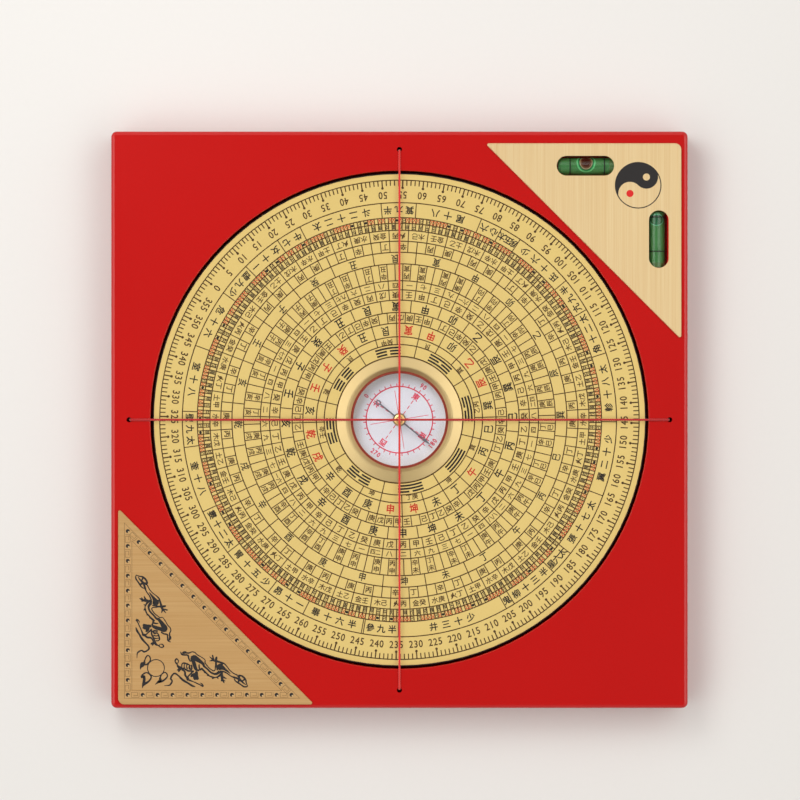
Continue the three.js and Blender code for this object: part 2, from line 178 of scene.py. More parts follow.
@dataclass(frozen=True)
class Finish(Surface):
    """A surface with a slow change of tint and a fine grain.

    Args:
        shade: the colour that the main one drifts to.
        roughness: the middle roughness.
        spread: how far the grain moves the roughness.
        metallic: 1 for bare metal.
        ior: index of refraction, which a metal leaves at its default.
        drift_mm: size of the slow change of tint.
        drift: how much of the shade shows, 0 to 1.
        grain: how the fine grain runs.
        grain_mm: width of one line or cell of the grain.
        run_mm: length of one line of a brushed grain.
        relief_mm: depth of the grain.
        sheen: weight of the fuzz on cloth.
    """

    shade: str
    roughness: float
    spread: float = 0.05
    metallic: float = 0.0
    ior: float = 1.5
    drift_mm: float = 20.0
    drift: float = 0.5
    grain: Grain = Grain.EVEN
    grain_mm: float = 0.4
    run_mm: float = 20.0
    relief_mm: float = 0.004
    sheen: float = 0.0

    def noise(self, tree: NodeTree, place: NodeSocket, size: float) -> NodeSocket:
        """Makes a noise that is drawn out along the brushing.

        Args:
            tree: the material's tree.
            place: Object coordinates.
            size: width of one cell, in millimetres.

        Returns:
            The noise as a number from 0 to 1.
        """
        cell, run = 1 / (size * MM), 1 / (self.run_mm * MM)
        scale = [run if self.grain is along else cell for along in (Grain.ALONG_X, Grain.ALONG_Y, None)]
        mapping = add_node(tree, "ShaderNodeMapping", {"Vector": place, "Scale": scale})
        given = {"Vector": mapping, "Scale": 1.0, "Detail": 3.0, "Roughness": 0.6}
        return add_node(tree, "ShaderNodeTexNoise", given).outputs["Fac"]

    def lathe_rings(self, tree: NodeTree, place: NodeSocket) -> NodeSocket:
        """Makes the fine rings that a lathe tool leaves round the Z axis.

        Args:
            tree: the material's tree.
            place: Object coordinates.

        Returns:
            The rings as a number from 0 to 1.
        """
        given = {"wave_type": "RINGS", "rings_direction": "Z", "Vector": place, "Distortion": 1.5}
        given |= {"Detail": 2.0, "Detail Scale": 2.0, "Scale": 2 / (self.grain_mm * MM * TURN)}
        return add_node(tree, "ShaderNodeTexWave", given).outputs["Fac"]

    def shader(self, tree: NodeTree) -> Node:
        """Builds the tint, roughness and relief, and the shader that takes them.

        Args:
            tree: the material's tree.

        Returns:
            The shader.
        """
        place = add_node(tree, "ShaderNodeTexCoord").outputs["Object"]
        slow = self.noise(tree, place, self.drift_mm)
        turned_on_lathe = self.grain is Grain.ROUND
        fine = self.lathe_rings(tree, place) if turned_on_lathe else self.noise(tree, place, self.grain_mm)
        half = add_node(tree, "ShaderNodeMath", {"operation": "MULTIPLY", 0: fine, 1: 0.5})
        given = {"operation": "MULTIPLY_ADD", 0: slow, 1: self.drift, 2: half}
        share = add_node(tree, "ShaderNodeMath", given)
        ends = {MIX_FIRST: linear(self.colour), MIX_SECOND: linear(self.shade)}
        tint = add_node(tree, "ShaderNodeMix", {"data_type": "RGBA", 0: share, **ends}).outputs[MIX_RESULT]
        ends = {"To Min": self.roughness - self.spread, "To Max": self.roughness + self.spread}
        rough = add_node(tree, "ShaderNodeMapRange", {"Value": fine, **ends})
        given = {"Height": fine, "Strength": 1.0, "Distance": self.relief_mm * MM}
        bump = add_node(tree, "ShaderNodeBump", given)
        given = {"Base Color": tint, "Roughness": rough, "Normal": bump}
        given |= {"Metallic": self.metallic, "Sheen Weight": self.sheen}
        if self.metallic < 1:
            given["IOR"] = self.ior
        return add_node(tree, "ShaderNodeBsdfPrincipled", given)


@dataclass(frozen=True)
class ClearFinish(Surface):
    """A clear solid or liquid that lets lamps through, tinted by its colour.

    Args:
        ior: index of refraction.
        roughness: roughness of its surface.
        clearness: how much light goes through, 0 to 1.
    """

    ior: float
    roughness: float = 0.02
    clearness: float = 1.0

    def shader(self, tree: NodeTree) -> Node:
        """Builds the clear shader, which lets shadow rays straight through.

        Args:
            tree: the material's tree.

        Returns:
            The shader.
        """
        colour = linear(self.colour)
        given = {"Base Color": colour, "IOR": self.ior, "Roughness": self.roughness}
        body = add_node(tree, "ShaderNodeBsdfPrincipled", given | {"Transmission Weight": self.clearness})
        opening = add_node(tree, "ShaderNodeBsdfTransparent", {"Color": colour})
        shadow = add_node(tree, "ShaderNodeLightPath").outputs["Is Shadow Ray"]
        return add_node(tree, "ShaderNodeMixShader", {0: shadow, 1: body, 2: opening})


@dataclass(frozen=True)
class BubbleFinish(Surface):
    """Air seen through the liquid, painted with reflection and highlight: a colour in the middle, then rings
    of others that are the painted reflections and the bright halo at its rim.

    Args:
        stops: how far out each further colour stands, up to 1 at the rim, and its sRGB colour.
        roughness: roughness of its surface.
        ior: index of refraction, that of alcohol.
    """

    stops: tuple[tuple[float, str], ...]
    roughness: float = 0.12
    ior: float = 1.36

    def shader(self, tree: NodeTree) -> Node:
        """Builds the rings of painted reflection and highlight, and the shader that takes them.

        Args:
            tree: the material's tree.

        Returns:
            The shader.
        """
        out = add_node(tree, "ShaderNodeAttribute", {"attribute_name": RIM}).outputs["Fac"]
        ramp = add_node(tree, "ShaderNodeValToRGB", {"Fac": out})
        stops = ramp.color_ramp.elements
        wanted = ((0.0, self.colour), *self.stops)
        while len(stops) < len(wanted):
            stops.new(0.5)
        for stop, (place, colour) in zip(stops, wanted):
            stop.position, stop.color = place, linear(colour)
        given = {"Base Color": ramp, "Roughness": self.roughness, "IOR": self.ior}
        return add_node(tree, "ShaderNodeBsdfPrincipled", given)


# Phenolic resin, pressed in a polished mould: an even deep red with a satin face and faint ripples.
RED_BAKELITE = Finish(
    "red_bakelite_pressed", "c20502", "b20401", 0.24, 0.03, drift_mm=60, drift=0.6, grain_mm=0.9,
    relief_mm=0.002,
)
# The same resin in black, turned on a lathe: the dark rim and core of the dial.
BLACK_BAKELITE = Finish(
    "black_bakelite_turned", "120f0e", "1d1714", 0.4, 0.06, ior=1.58, grain=Grain.ROUND, grain_mm=0.6
)
# Brass sheet, etched, filled and clear lacquered: pale straw yellow, satin, faintly mottled.
ETCHED_BRASS = Finish("brass_sheet_etched", "f2da90", "e6cb82", 0.58, metallic=1, drift_mm=14, grain_mm=0.35)
# Brass turned and polished: a smooth warm ring with faint tool lines.
TURNED_BRASS = Finish(
    "brass_turned", "e2cc96", "d0b27a", 0.4, metallic=1, drift_mm=12, drift=0.4, grain=Grain.ROUND,
    grain_mm=0.25, relief_mm=0.0015,
)
# Brass sheet brushed down its height on a belt: fine vertical lines in a pale gold.
UPRIGHT_BRUSHED_BRASS = Finish(
    "brass_brushed_upright", "fdebbe", "e6c48e", 0.52, 0.1, metallic=1, drift_mm=0.8, drift=0.8,
    grain=Grain.ALONG_Y, grain_mm=0.3, run_mm=60,
)
# The same sheet brushed across: horizontal lines, a warmer tan.
ACROSS_BRUSHED_BRASS = replace(
    UPRIGHT_BRUSHED_BRASS, name="brass_brushed_across", colour="e4c08a", shade="c89c64", grain=Grain.ALONG_X,
    run_mm=40,
)
# Stoving paint wiped into the etched lines: dark olive brown and dull.
LINE_FILL = Finish("etch_fill_brown", "503509", "3e2704", 0.65, ior=1.45, drift_mm=5, relief_mm=0.002)
# The same paint in the deeper characters, where it is nearly black.
DARK_FILL = replace(LINE_FILL, name="etch_fill_black", colour="140b04", shade="1f1207", roughness=0.6)
# Red paint in the characters that the tradition marks out.
RED_FILL = replace(DARK_FILL, name="etch_fill_red", colour="c8240e", shade="b41a08")
# Screen-printed ink on the plates: matt black, slightly warm.
BLACK_INK = Finish("screen_ink_black", "0f0a0a", "181111", 0.5, drift_mm=6, relief_mm=0.002)
# Screen-printed red ink.
RED_INK = replace(BLACK_INK, name="screen_ink_red", colour="d8100e", shade="ca0c0a")
# Thin brown ink of the border, which lets some of the brass show.
BORDER_INK = replace(BLACK_INK, name="screen_ink_brown", colour="86663a", shade="77572e")
# Pale gold ink for a painted highlight on the lower right of each dot in the border, where light catches the
# far wall of a punched dimple.
PAINTED_HIGHLIGHT_INK = replace(BLACK_INK, name="screen_ink_gold_painted_highlight", colour="d4b684", shade="c8a874", roughness=0.4)
# Offset-printed pink-red ink on the compass card.
CARD_INK = Finish("card_ink_red", "ee3058", "e2284e", 0.6, drift_mm=4, relief_mm=0.001)
# Coated card: cool white with the least fibre.
PRINTED_CARD = Finish("card_coated", "f6f2fb", "eeeaf6", 0.55, 0.06, drift_mm=6, grain_mm=0.25)
# Steel strip, blued and polished: dark grey with a soft gleam.
BLUED_STEEL = Finish(
    "steel_blued", "807e88", "9896a0", 0.34, 0.06, metallic=1, drift_mm=3, grain_mm=0.15, relief_mm=0.001
)
# Brass of the needle's cap, spun and lacquered: darker and more orange.
CAP_BRASS = Finish(
    "brass_cap_lacquered", "efc68c", "dcab66", 0.28, 0.04, metallic=1, drift_mm=2, grain=Grain.ROUND,
    grain_mm=0.2, relief_mm=0.001,
)
# Dyed silk thread, laid from three strands: matt red with a light fuzz.
RED_THREAD = Finish(
    "silk_thread_red", "ee3a30", "d42420", 0.7, 0.08, drift_mm=1.5, drift=0.8, grain_mm=0.12, relief_mm=0.01,
    sheen=0.3,
)
# The same thread for the lower thread, which lies under the other, darkened as painted shade.
SHADED_THREAD = replace(RED_THREAD, name="silk_thread_red_painted_shade", colour="cc1a1e", shade="ae1418")
# Vulcanised rubber, moulded: the dull red-brown line inside the bezel.
RED_RUBBER = Finish("rubber_moulded", "93301a", "7a2512", 0.7, ior=1.52, drift_mm=4)
# Pressed wool felt: dark grey and soft, its fibres drawn coarser than they are, so that they show.
GREY_FELT = Finish(
    "wool_felt_pressed", "3b3a3a", "4a4848", 0.95, 0.04, drift_mm=3, grain_mm=0.3, relief_mm=0.15, sheen=0.5
)
# Tinted polyethylene plug, moulded: dull green like the liquid that it holds in.
GREEN_PLUG = Finish("polyethylene_moulded", "5f7f4a", "557240", 0.45, ior=1.51, drift_mm=3)
# Float glass: clear, its edge cut square.
CLEAR_GLASS = ClearFinish("glass_float", "fbfdfd", 1.5)
# Cast acrylic tube: clear with a trace of green.
CLEAR_ACRYLIC = ClearFinish("acrylic_cast", "dff2de", 1.49)
# Dyed alcohol inside the acrylic, cloudy enough to glow: 1.36 over the acrylic's 1.49 bends the light.
GREEN_FLUID = ClearFinish("alcohol_dyed_green", "66a46a", 0.913, 0.05, 0.35)
# Bubble under the plate's edge, painted with reflection and highlight: brown where it mirrors the dark
# pocket, a pale highlight ring and a bright green halo.
BUBBLE_PAINTED_DARK_REFLECTION = BubbleFinish(
    "air_bubble_painted_reflection", "4a1c1a",
    ((0.4, "5c2a22"), (0.58, "8f5a44"), (0.64, "cdb994"), (0.69, "1b4330"), (0.8, "2c9a5c"), (0.93, "8ae0a0"),
     (1.0, "2f8a56")),
)
# Bubble seen from its end: green like the liquid, with a bright teal rim that is a painted highlight.
BUBBLE_PAINTED_RIM_LIGHT = BubbleFinish(
    "air_bubble_painted_rim_light", "2f6a4c", ((0.6, "3a7a58"), (0.8, "1c4c34"), (0.9, "7fdcb4"), (1.0, "2f7a52"))
)


# Meshes


def new_object(name: str, mesh: Mesh) -> Object:
    """Links a mesh into the scene as an object at the origin.

    Args:
        name: the object's name.
        mesh: its mesh, in metres.

    Returns:
        The object.
    """
    piece = bpy.data.objects.new(name, mesh)
    bpy.context.scene.collection.objects.link(piece)
    return piece


def made_real(holder: Object) -> Mesh:
    """Turns an object, as its curve or its modifier shapes it, into a plain mesh, and removes the object.

    Args:
        holder: an object that isn't in the scene yet.

    Returns:
        The mesh.
    """
    bpy.context.scene.collection.objects.link(holder)
    graph = bpy.context.evaluated_depsgraph_get()
    mesh = bpy.data.meshes.new_from_object(holder.evaluated_get(graph))
    holder.modifiers.clear()
    bpy.data.batch_remove((holder, holder.data))
    return mesh


def mesh_from(work: bmesh.types.BMesh, name: str, closed: bool = True) -> Mesh:
    """Turns working geometry into a mesh and frees it.

    Args:
        work: the geometry.
        name: the mesh's name.
        closed: True to point the faces of closed forms outwards.

    Returns:
        The mesh.
    """
    if closed:
        bmesh.ops.recalc_face_normals(work, faces=work.faces)
    mesh = bpy.data.meshes.new(name)
    work.to_mesh(mesh)
    work.free()
    return mesh


def bridge(work: bmesh.types.BMesh, rows: Sequence[Sequence[bmesh.types.BMVert]]) -> None:
    """Joins closed rows of points with faces, each row to the next.

    Args:
        work: the geometry that gets the faces.
        rows: rows of as many points each. A row that repeats one point is a pole.
    """
    for first, second in zip(rows, rows[1:]):
        for side in range(len(first)):
            after = (side + 1) % len(first)
            corners = list(dict.fromkeys([first[side], first[after], second[after], second[side]]))
            if len(corners) > 2:
                work.faces.new(corners)


def soften(mesh: Mesh, degrees: float = 35) -> Mesh:
    """Shades a mesh smooth, but for its sharp edges.

    Args:
        mesh: the mesh.
        degrees: the least angle of a sharp edge.

    Returns:
        The same mesh.
    """
    mesh.shade_smooth()
    mesh.set_sharp_from_angle(angle=math.radians(degrees))
    return mesh


def firm_flats(mesh: Mesh, least: float = 20.0) -> Mesh:
    """Lets the round edges blend into the large flat faces, which stay flat in the shading.

    Args:
        mesh: a mesh that is shaded smooth.
        least: area of a large flat face, in square millimetres.

    Returns:
        The same mesh, with its own corner normals.
    """
    planes = [
        tuple(round(v, 3) for v in (*face.normal, face.normal.dot(face.center) / MM))
        for face in mesh.polygons
    ]
    areas: dict[tuple[float, ...], float] = {}
    for face, plane in zip(mesh.polygons, planes):
        areas[plane] = areas.get(plane, 0.0) + face.area
    flats: dict[int, list[Vector]] = {}
    for face, plane in zip(mesh.polygons, planes):
        if areas[plane] > least * MM * MM:
            for vert in face.vertices:
                flats.setdefault(vert, []).append(face.normal.copy())
    least_alike = 0.7  # cosine of the widest angle between a face and a flat that it blends into
    normals = [corner.vector.copy() for corner in mesh.corner_normals]
    for face in mesh.polygons:
        for corner in face.loop_indices:
            near = flats.get(mesh.loops[corner].vertex_index, ())
            best = max(near, key=face.normal.dot, default=None)
            if best is not None and best.dot(face.normal) > least_alike:
                normals[corner] = best
    mesh.normals_split_custom_set(normals)
    return mesh


def smoothed_copy(node: str) -> Mesh:
    """Copies a CAD node's mesh, merged and shaded smooth where it is round.

    Args:
        node: the CAD node's name.

    Returns:
        The new mesh.
    """
    work = bmesh.new()
    work.from_mesh(bpy.data.objects[node].data)
    bmesh.ops.remove_doubles(work, verts=work.verts, dist=WELD)
    return firm_flats(soften(mesh_from(work, node, closed=False), 40))


def joined(name: str, meshes: Iterable[Mesh]) -> Mesh:
    """Puts several meshes into one.

    Args:
        name: the new mesh's name.
        meshes: the meshes, which are removed.

    Returns:
        The new mesh.
    """
    work = bmesh.new()
    for mesh in meshes:
        work.from_mesh(mesh)
        bpy.data.meshes.remove(mesh)
    return mesh_from(work, name, closed=False)


def circle(
    radius: float, sides: int, centre: Point = (0, 0), first: float = 0, last: float = 360
) -> list[Point]:
    """Points on a circle or an arc.

    Args:
        radius: its radius.
        sides: steps round it.
        centre: its middle.
        first: angle of the first point, in degrees anticlockwise from +X.
        last: angle where it ends. A whole circle leaves that point out.

    Returns:
        The points.
    """
    count = sides if abs(last - first) == 360 else sides + 1
    angles = [math.radians(first + (last - first) * i / sides) for i in range(count)]
    return [(centre[0] + radius * math.cos(a), centre[1] + radius * math.sin(a)) for a in angles]


def turned(name: str, profile: Sequence[Point], sides: int) -> Mesh:
    """Turns a closed profile about the Z axis.

    Args:
        name: the mesh's name.
        profile: radius and height of each corner, in millimetres. A radius of 0 lies on the axis.
        sides: flats round the axis.

    Returns:
        A closed mesh, in metres.
    """
    work = bmesh.new()
    rings = []
    for radius, height in profile:
        places = circle(radius, sides) if radius else [(0, 0)]
        ring = [work.verts.new(Vector((*place, height)) * MM) for place in places]
        rings.append(ring * (sides // len(ring)))
    bridge(work, rings + rings[:1])
    return soften(mesh_from(work, name))


def filled_outline(name: str, outlines: Sequence[Sequence[Point]], low: float, high: float) -> Mesh:
    """Raises flat outlines into a solid; an outline inside another is a hole.

    Args:
        name: the mesh's name.
        outlines: closed rows of points, in millimetres.
        low: height of the underside, in millimetres.
        high: height of the top, in millimetres.

    Returns:
        A closed mesh, in metres.
    """
    curve = bpy.data.curves.new(name, "CURVE")
    curve.dimensions, curve.fill_mode, curve.extrude = "2D", "BOTH", (high - low) / 2
    for outline in outlines:
        spline = curve.splines.new("POLY")
        spline.points.add(len(outline) - 1)
        spline.use_cyclic_u = True
        for corner, place in zip(spline.points, outline):
            corner.co = (*place, 0, 1)
    mesh = made_real(bpy.data.objects.new(name, curve))
    mesh.transform(Matrix.Scale(MM, 4) @ Matrix.Translation((0, 0, (low + high) / 2)))
    work = bmesh.new()
    work.from_mesh(mesh)
    bpy.data.meshes.remove(mesh)
    bmesh.ops.remove_doubles(work, verts=work.verts, dist=WELD)
    return mesh_from(work, name)


def smooth_path(points: Sequence[Sequence[float]], steps: int) -> np.ndarray:
    """Runs a smooth curve through points, by the cubic that passes each with its neighbours' slope.

    Args:
        points: rows of numbers to pass through.
        steps: steps between two points.

    Returns:
        The rows of the curve.
    """
    rows = np.array(points, float)
    rows = np.vstack([2 * rows[0] - rows[1], rows, 2 * rows[-1] - rows[-2]])
    powers = (np.arange(steps)[:, None] / steps) ** np.arange(4)
    cubic = np.array([[0, 2, 0, 0], [-1, 0, 1, 0], [2, -5, 4, -1], [-1, 3, -3, 1]]) / 2
    spans = [powers @ cubic @ rows[i : i + 4] for i in range(len(rows) - 3)]
    return np.vstack([*spans, rows[-2]])


def brush_stroke(points: Sequence[Sequence[float]], low: float, high: float) -> Mesh:
    """Makes one brush stroke as a thin solid.

    Args:
        points: x, y and width along the stroke, in millimetres.
        low: height of its underside, in millimetres.
        high: height of its top, in millimetres.

    Returns:
        A closed mesh, in metres.
    """
    steps, thinnest = 5, 0.04
    path = smooth_path(points, steps)
    along = np.gradient(path[:, :2], axis=0)
    along /= np.maximum(np.linalg.norm(along, axis=1, keepdims=True), 1e-9)
    aside = along[:, ::-1] * (-1, 1) * np.maximum(path[:, 2:], thinnest) / 2
    work = bmesh.new()
    rows = []
    for left, right in zip(path[:, :2] + aside, path[:, :2] - aside):
        corners = [(*left, high), (*right, high), (*right, low), (*left, low)]
        rows.append([work.verts.new(Vector(corner) * MM) for corner in corners])
    bridge(work, rows)
    for end in (rows[0], rows[-1]):
        work.faces.new(end)
    return mesh_from(work, "stroke")


def path_mesh(points: Sequence[Sequence[float]], cyclic: bool = False) -> Mesh:
    """Makes a path of edges through points.

    Args:
        points: x, y and z of each point, in millimetres.
        cyclic: True if the path closes on itself.

    Returns:
        The mesh, in metres.
    """
    count = len(points)
    edges = [(i, (i + 1) % count) for i in range(count if cyclic else count - 1)]
    mesh = bpy.data.meshes.new("path")
    mesh.from_pydata([Vector(p) * MM for p in points], edges, [])
    return mesh


# Rules for what repeats or follows a path


class Input(Enum):
    """What a rule's input holds: its socket's type, and the unit that it is given in."""

    LENGTH = ("NodeSocketFloat", MM)
    ANGLE = ("NodeSocketFloat", TURN / 360)
    NUMBER = ("NodeSocketFloat", 1.0)
    COUNT = ("NodeSocketInt", 1)
    SHAPE = ("NodeSocketObject", None)
    SHAPES = ("NodeSocketCollection", None)
    MATERIAL = ("NodeSocketMaterial", None)


class Rule:
    """A Geometry Nodes tree with named inputs, which makes one plain mesh."""

    inputs: dict[str, Input] = {}

    def __init__(self) -> None:
        """Builds the tree, its inputs and its output."""
        self.tree = bpy.data.node_groups.new(type(self).__name__, "GeometryNodeTree")
        for way in ("INPUT", "OUTPUT"):
            self.tree.interface.new_socket("Geometry", in_out=way, socket_type="NodeSocketGeometry")
        self.sockets = {}
        for name, kind in {**self.inputs, "material": Input.MATERIAL}.items():
            sort, unit = kind.value
            socket = self.tree.interface.new_socket(name.title(), in_out="INPUT", socket_type=sort)
            self.sockets[name] = (socket.identifier, unit)
        outputs = self.node("NodeGroupInput").outputs
        self.start = outputs["Geometry"]
        self.given = {name: outputs[name.title()] for name in self.sockets}
        real = self.node("GeometryNodeRealizeInstances", {"Geometry": self.build()})
        dressed = self.node("GeometryNodeSetMaterial", {"Geometry": real, "Material": self.given["material"]})
        self.node("NodeGroupOutput", {0: dressed})

    def node(self, kind: str, given: Given | None = None) -> Node:
        """Adds a node to the rule's tree."""
        return add_node(self.tree, kind, given)

    def build(self) -> Node:
        """Builds the rule's own nodes and returns the last, whose first output is the geometry."""
        raise NotImplementedError

    def middle_height(self) -> Node:
        """Works out how high a thing's middle lies from its underside and its height."""
        given = {"operation": "MULTIPLY_ADD", 0: self.given["height"], 1: 0.5, 2: self.given["low"]}
        return self.node("ShaderNodeMath", given)

    def apply(self, start: Mesh | None = None, **values: Any) -> Mesh:
        """Runs the rule.

        Args:
            start: the points or the path that it starts from, or None where it needs neither.
            values: what each input gets, lengths in millimetres and angles in degrees.

        Returns:
            The mesh that it makes, in metres.
        """
        holder = bpy.data.objects.new("holder", start or bpy.data.meshes.new("start"))
        modifier = holder.modifiers.new("rule", "NODES")
        modifier.node_group = self.tree
        for name, value in values.items():
            identifier, unit = self.sockets[name]
            modifier[identifier] = value * unit if unit else value
        return made_real(holder)


class EvenMarks(Rule):
    """Straight marks that point at the centre, evenly spaced round it."""

    inputs = {
        "count": Input.COUNT, "first": Input.ANGLE, "step": Input.ANGLE, "radius": Input.LENGTH,
        "length": Input.LENGTH, "width": Input.LENGTH, "low": Input.LENGTH, "height": Input.LENGTH,
    }

    def build(self) -> Node:
        """Turns one block for each mark about the centre.

        Returns:
            The last node, whose first output is the geometry.
        """
        given, node = self.given, self.node
        size = node("ShaderNodeCombineXYZ", {"X": given["width"], "Y": given["length"], "Z": given["height"]})
        block = node("GeometryNodeMeshCube", {"Size": size})
        out = node("ShaderNodeCombineXYZ", {"Y": given["radius"], "Z": self.middle_height()})
        placed = node("GeometryNodeTransform", {"Geometry": block, "Translation": out})
        index = node("GeometryNodeInputIndex")
        sums = {"operation": "MULTIPLY_ADD", 0: index, 1: given["step"], 2: given["first"]}
        bearing = node("ShaderNodeMath", sums)
        angle = node("ShaderNodeMath", {"operation": "MULTIPLY", 0: bearing, 1: -1.0})
        turn = node("ShaderNodeCombineXYZ", {"Z": angle})
        points = node("GeometryNodePoints", {"Count": given["count"]})
        return node("GeometryNodeInstanceOnPoints", {"Points": points, "Instance": placed, "Rotation": turn})


class RingLine(Rule):
    """A flat line that runs round the centre."""

    inputs = {
        "radius": Input.LENGTH, "width": Input.LENGTH, "low": Input.LENGTH, "height": Input.LENGTH,
        "sides": Input.COUNT,
    }

    def build(self) -> Node:
        """Sweeps a rectangle round a circle.

        Returns:
            The last node, whose first output is the geometry.
        """
        given, node = self.given, self.node
        sizes = {"Resolution": given["sides"], "Radius": given["radius"]}
        ring = node("GeometryNodeCurvePrimitiveCircle", sizes)
        sizes = {"Width": given["width"], "Height": given["height"]}
        section = node("GeometryNodeCurvePrimitiveQuadrilateral", sizes)
        line = node("GeometryNodeCurveToMesh", {"Curve": ring, "Profile Curve": section})
        lift = node("ShaderNodeCombineXYZ", {"Z": self.middle_height()})
        return node("GeometryNodeSetPosition", {"Geometry": line, "Offset": lift})


class PlacedShapes(Rule):
    """Shapes from a set, each at its own point with its own turn and size."""

    inputs = {"shapes": Input.SHAPES}
    attributes = {"shape": "INT", "turn": "FLOAT_VECTOR", "size": "FLOAT_VECTOR"}

    def build(self) -> Node:
        """Picks a shape for each point by its index.

        Returns:
            The last node, whose first output is the geometry.
        """
        given = {"Collection": self.given["shapes"], "Separate Children": True, "Reset Children": True}
        shapes = self.node("GeometryNodeCollectionInfo", given)
        given = {"Points": self.start, "Instance": shapes, "Pick Instance": True}
        inputs = ("Instance Index", "Rotation", "Scale")
        for socket, (name, kind) in zip(inputs, self.attributes.items()):
            read = self.node("GeometryNodeInputNamedAttribute", {"data_type": kind, "Name": name})
            given[socket] = read.outputs["Attribute"]
        return self.node("GeometryNodeInstanceOnPoints", given)


class LaidThread(Rule):
    """A thread of three strands laid together along a path."""

    inputs = {"radius": Input.LENGTH, "lay": Input.LENGTH, "step": Input.LENGTH, "hollow": Input.NUMBER}
    section_points = 12
    strands = 3

    def build(self) -> Node:
        """Sweeps a three-lobed section that turns as it goes.

        Returns:
            The last node, whose first output is the geometry.
        """
        given, node = self.given, self.node
        path = node("GeometryNodeMeshToCurve", {"Mesh": self.start})
        even = node("GeometryNodeResampleCurve", {"mode": "LENGTH", "Curve": path, "Length": given["step"]})
        along = node("GeometryNodeSplineParameter").outputs["Length"]
        turns = node("ShaderNodeMath", {"operation": "DIVIDE", 0: along, 1: given["lay"]})
        twist = node("ShaderNodeMath", {"operation": "MULTIPLY", 0: turns, 1: TURN})
        twisted = node("GeometryNodeSetCurveTilt", {"Curve": even, "Tilt": twist})
        sizes = {"Resolution": self.section_points, "Radius": given["radius"]}
        ring = node("GeometryNodeCurvePrimitiveCircle", sizes)
        index = node("GeometryNodeInputIndex")
        share = TURN * self.strands / self.section_points
        angle = node("ShaderNodeMath", {"operation": "MULTIPLY", 0: index, 1: share})
        lobe = node("ShaderNodeMath", {"operation": "COSINE", 0: angle})
        below = node("ShaderNodeMath", {"operation": "SUBTRACT", 0: lobe, 1: 1.0})
        factor = node("ShaderNodeMath", {"operation": "MULTIPLY", 0: below, 1: given["hollow"]})
        here = node("GeometryNodeInputPosition")
        pull = node("ShaderNodeVectorMath", {"operation": "SCALE", 0: here, "Scale": factor})
        section = node("GeometryNodeSetPosition", {"Geometry": ring, "Offset": pull})
        swept = {"Curve": twisted, "Profile Curve": section, "Fill Caps": True}
        thread = node("GeometryNodeCurveToMesh", swept)
        return node("GeometryNodeSetShadeSmooth", {"Geometry": thread})


class RowAlongPath(Rule):
    """One shape repeated at even steps along a path and turned with it."""

    inputs = {"shape": Input.SHAPE, "count": Input.COUNT, "turn": Input.NUMBER}

    def build(self) -> Node:
        """Puts the shape on the points of the resampled path.

        Returns:
            The last node, whose first output is the geometry.
        """
        given, node = self.given, self.node
        path = node("GeometryNodeMeshToCurve", {"Mesh": self.start})
        even = node("GeometryNodeResampleCurve", {"Curve": path, "Count": given["count"]})
        ahead = node("GeometryNodeInputTangent")
        aim = {"axis": "X", "Vector": ahead, "Factor": given["turn"]}
        facing = node("FunctionNodeAlignRotationToVector", aim)
        shape = node("GeometryNodeObjectInfo", {"Object": given["shape"]}).outputs["Geometry"]
        placed = {"Points": even, "Instance": shape, "Rotation": facing}
        return node("GeometryNodeInstanceOnPoints", placed)


class Lettering(Enum):
    """How a character is cut: steps on each of its curves, and weight added to its strokes."""

    THIN = (2, 0.016)
    FINE = (1, 0.02)
    BRUSH = (2, 0.022)
    NUMBER = (3, 0.016)
    PRINT = (2, 0.03)


@dataclass(frozen=True)
class Mark:
    """One flat shape's place.

    Args:
        shape: a character or a plain shape.
        x: place along +X, in millimetres.
        y: place along +Y, in millimetres.
        turn: turn anticlockwise, in radians.
        width: its width, or the body size of a character, in millimetres.
        height: its height, or the body size of a character, in millimetres.
        style: how a character is cut.
    """

    shape: str
    x: float
    y: float
    turn: float
    width: float
    height: float
    style: Lettering = Lettering.FINE


def grown_outline(shape: str, steps: int, weight: float) -> tuple[np.ndarray, np.ndarray, np.ndarray]:
    """Outlines a character and moves its edges out evenly.

    Args:
        shape: the character.
        steps: steps on each of its curves.
        weight: how far each edge moves out, over the body size.

    Returns:
        The points, the number of the point after each, and the middle of the character as it was.
    """
    curve = bpy.data.curves.new("character", "FONT")
    curve.body, curve.resolution_u, curve.fill_mode = shape, steps, "NONE"
    outline = made_real(bpy.data.objects.new("character", curve))
    places = np.array([v.co[:2] for v in outline.vertices])
    after, before = np.zeros((2, len(places)), int)
    for first, last in (edge.vertices for edge in outline.edges):
        after[first], before[last] = last, first
    bpy.data.meshes.remove(outline)
    along = places[after] - places
    along /= np.maximum(np.linalg.norm(along, axis=1), 1e-9)[:, None]
    area = (places[:, 0] * places[after, 1] - places[after, 0] * places[:, 1]).sum()
    outward = along[:, ::-1] * (1, -1) * np.sign(area)
    sharp = np.maximum(1 + (outward * outward[before]).sum(1), 0.5)
    grown = places + weight * (outward + outward[before]) / sharp[:, None]
    return grown, after, (places.min(0) + places.max(0)) / 2


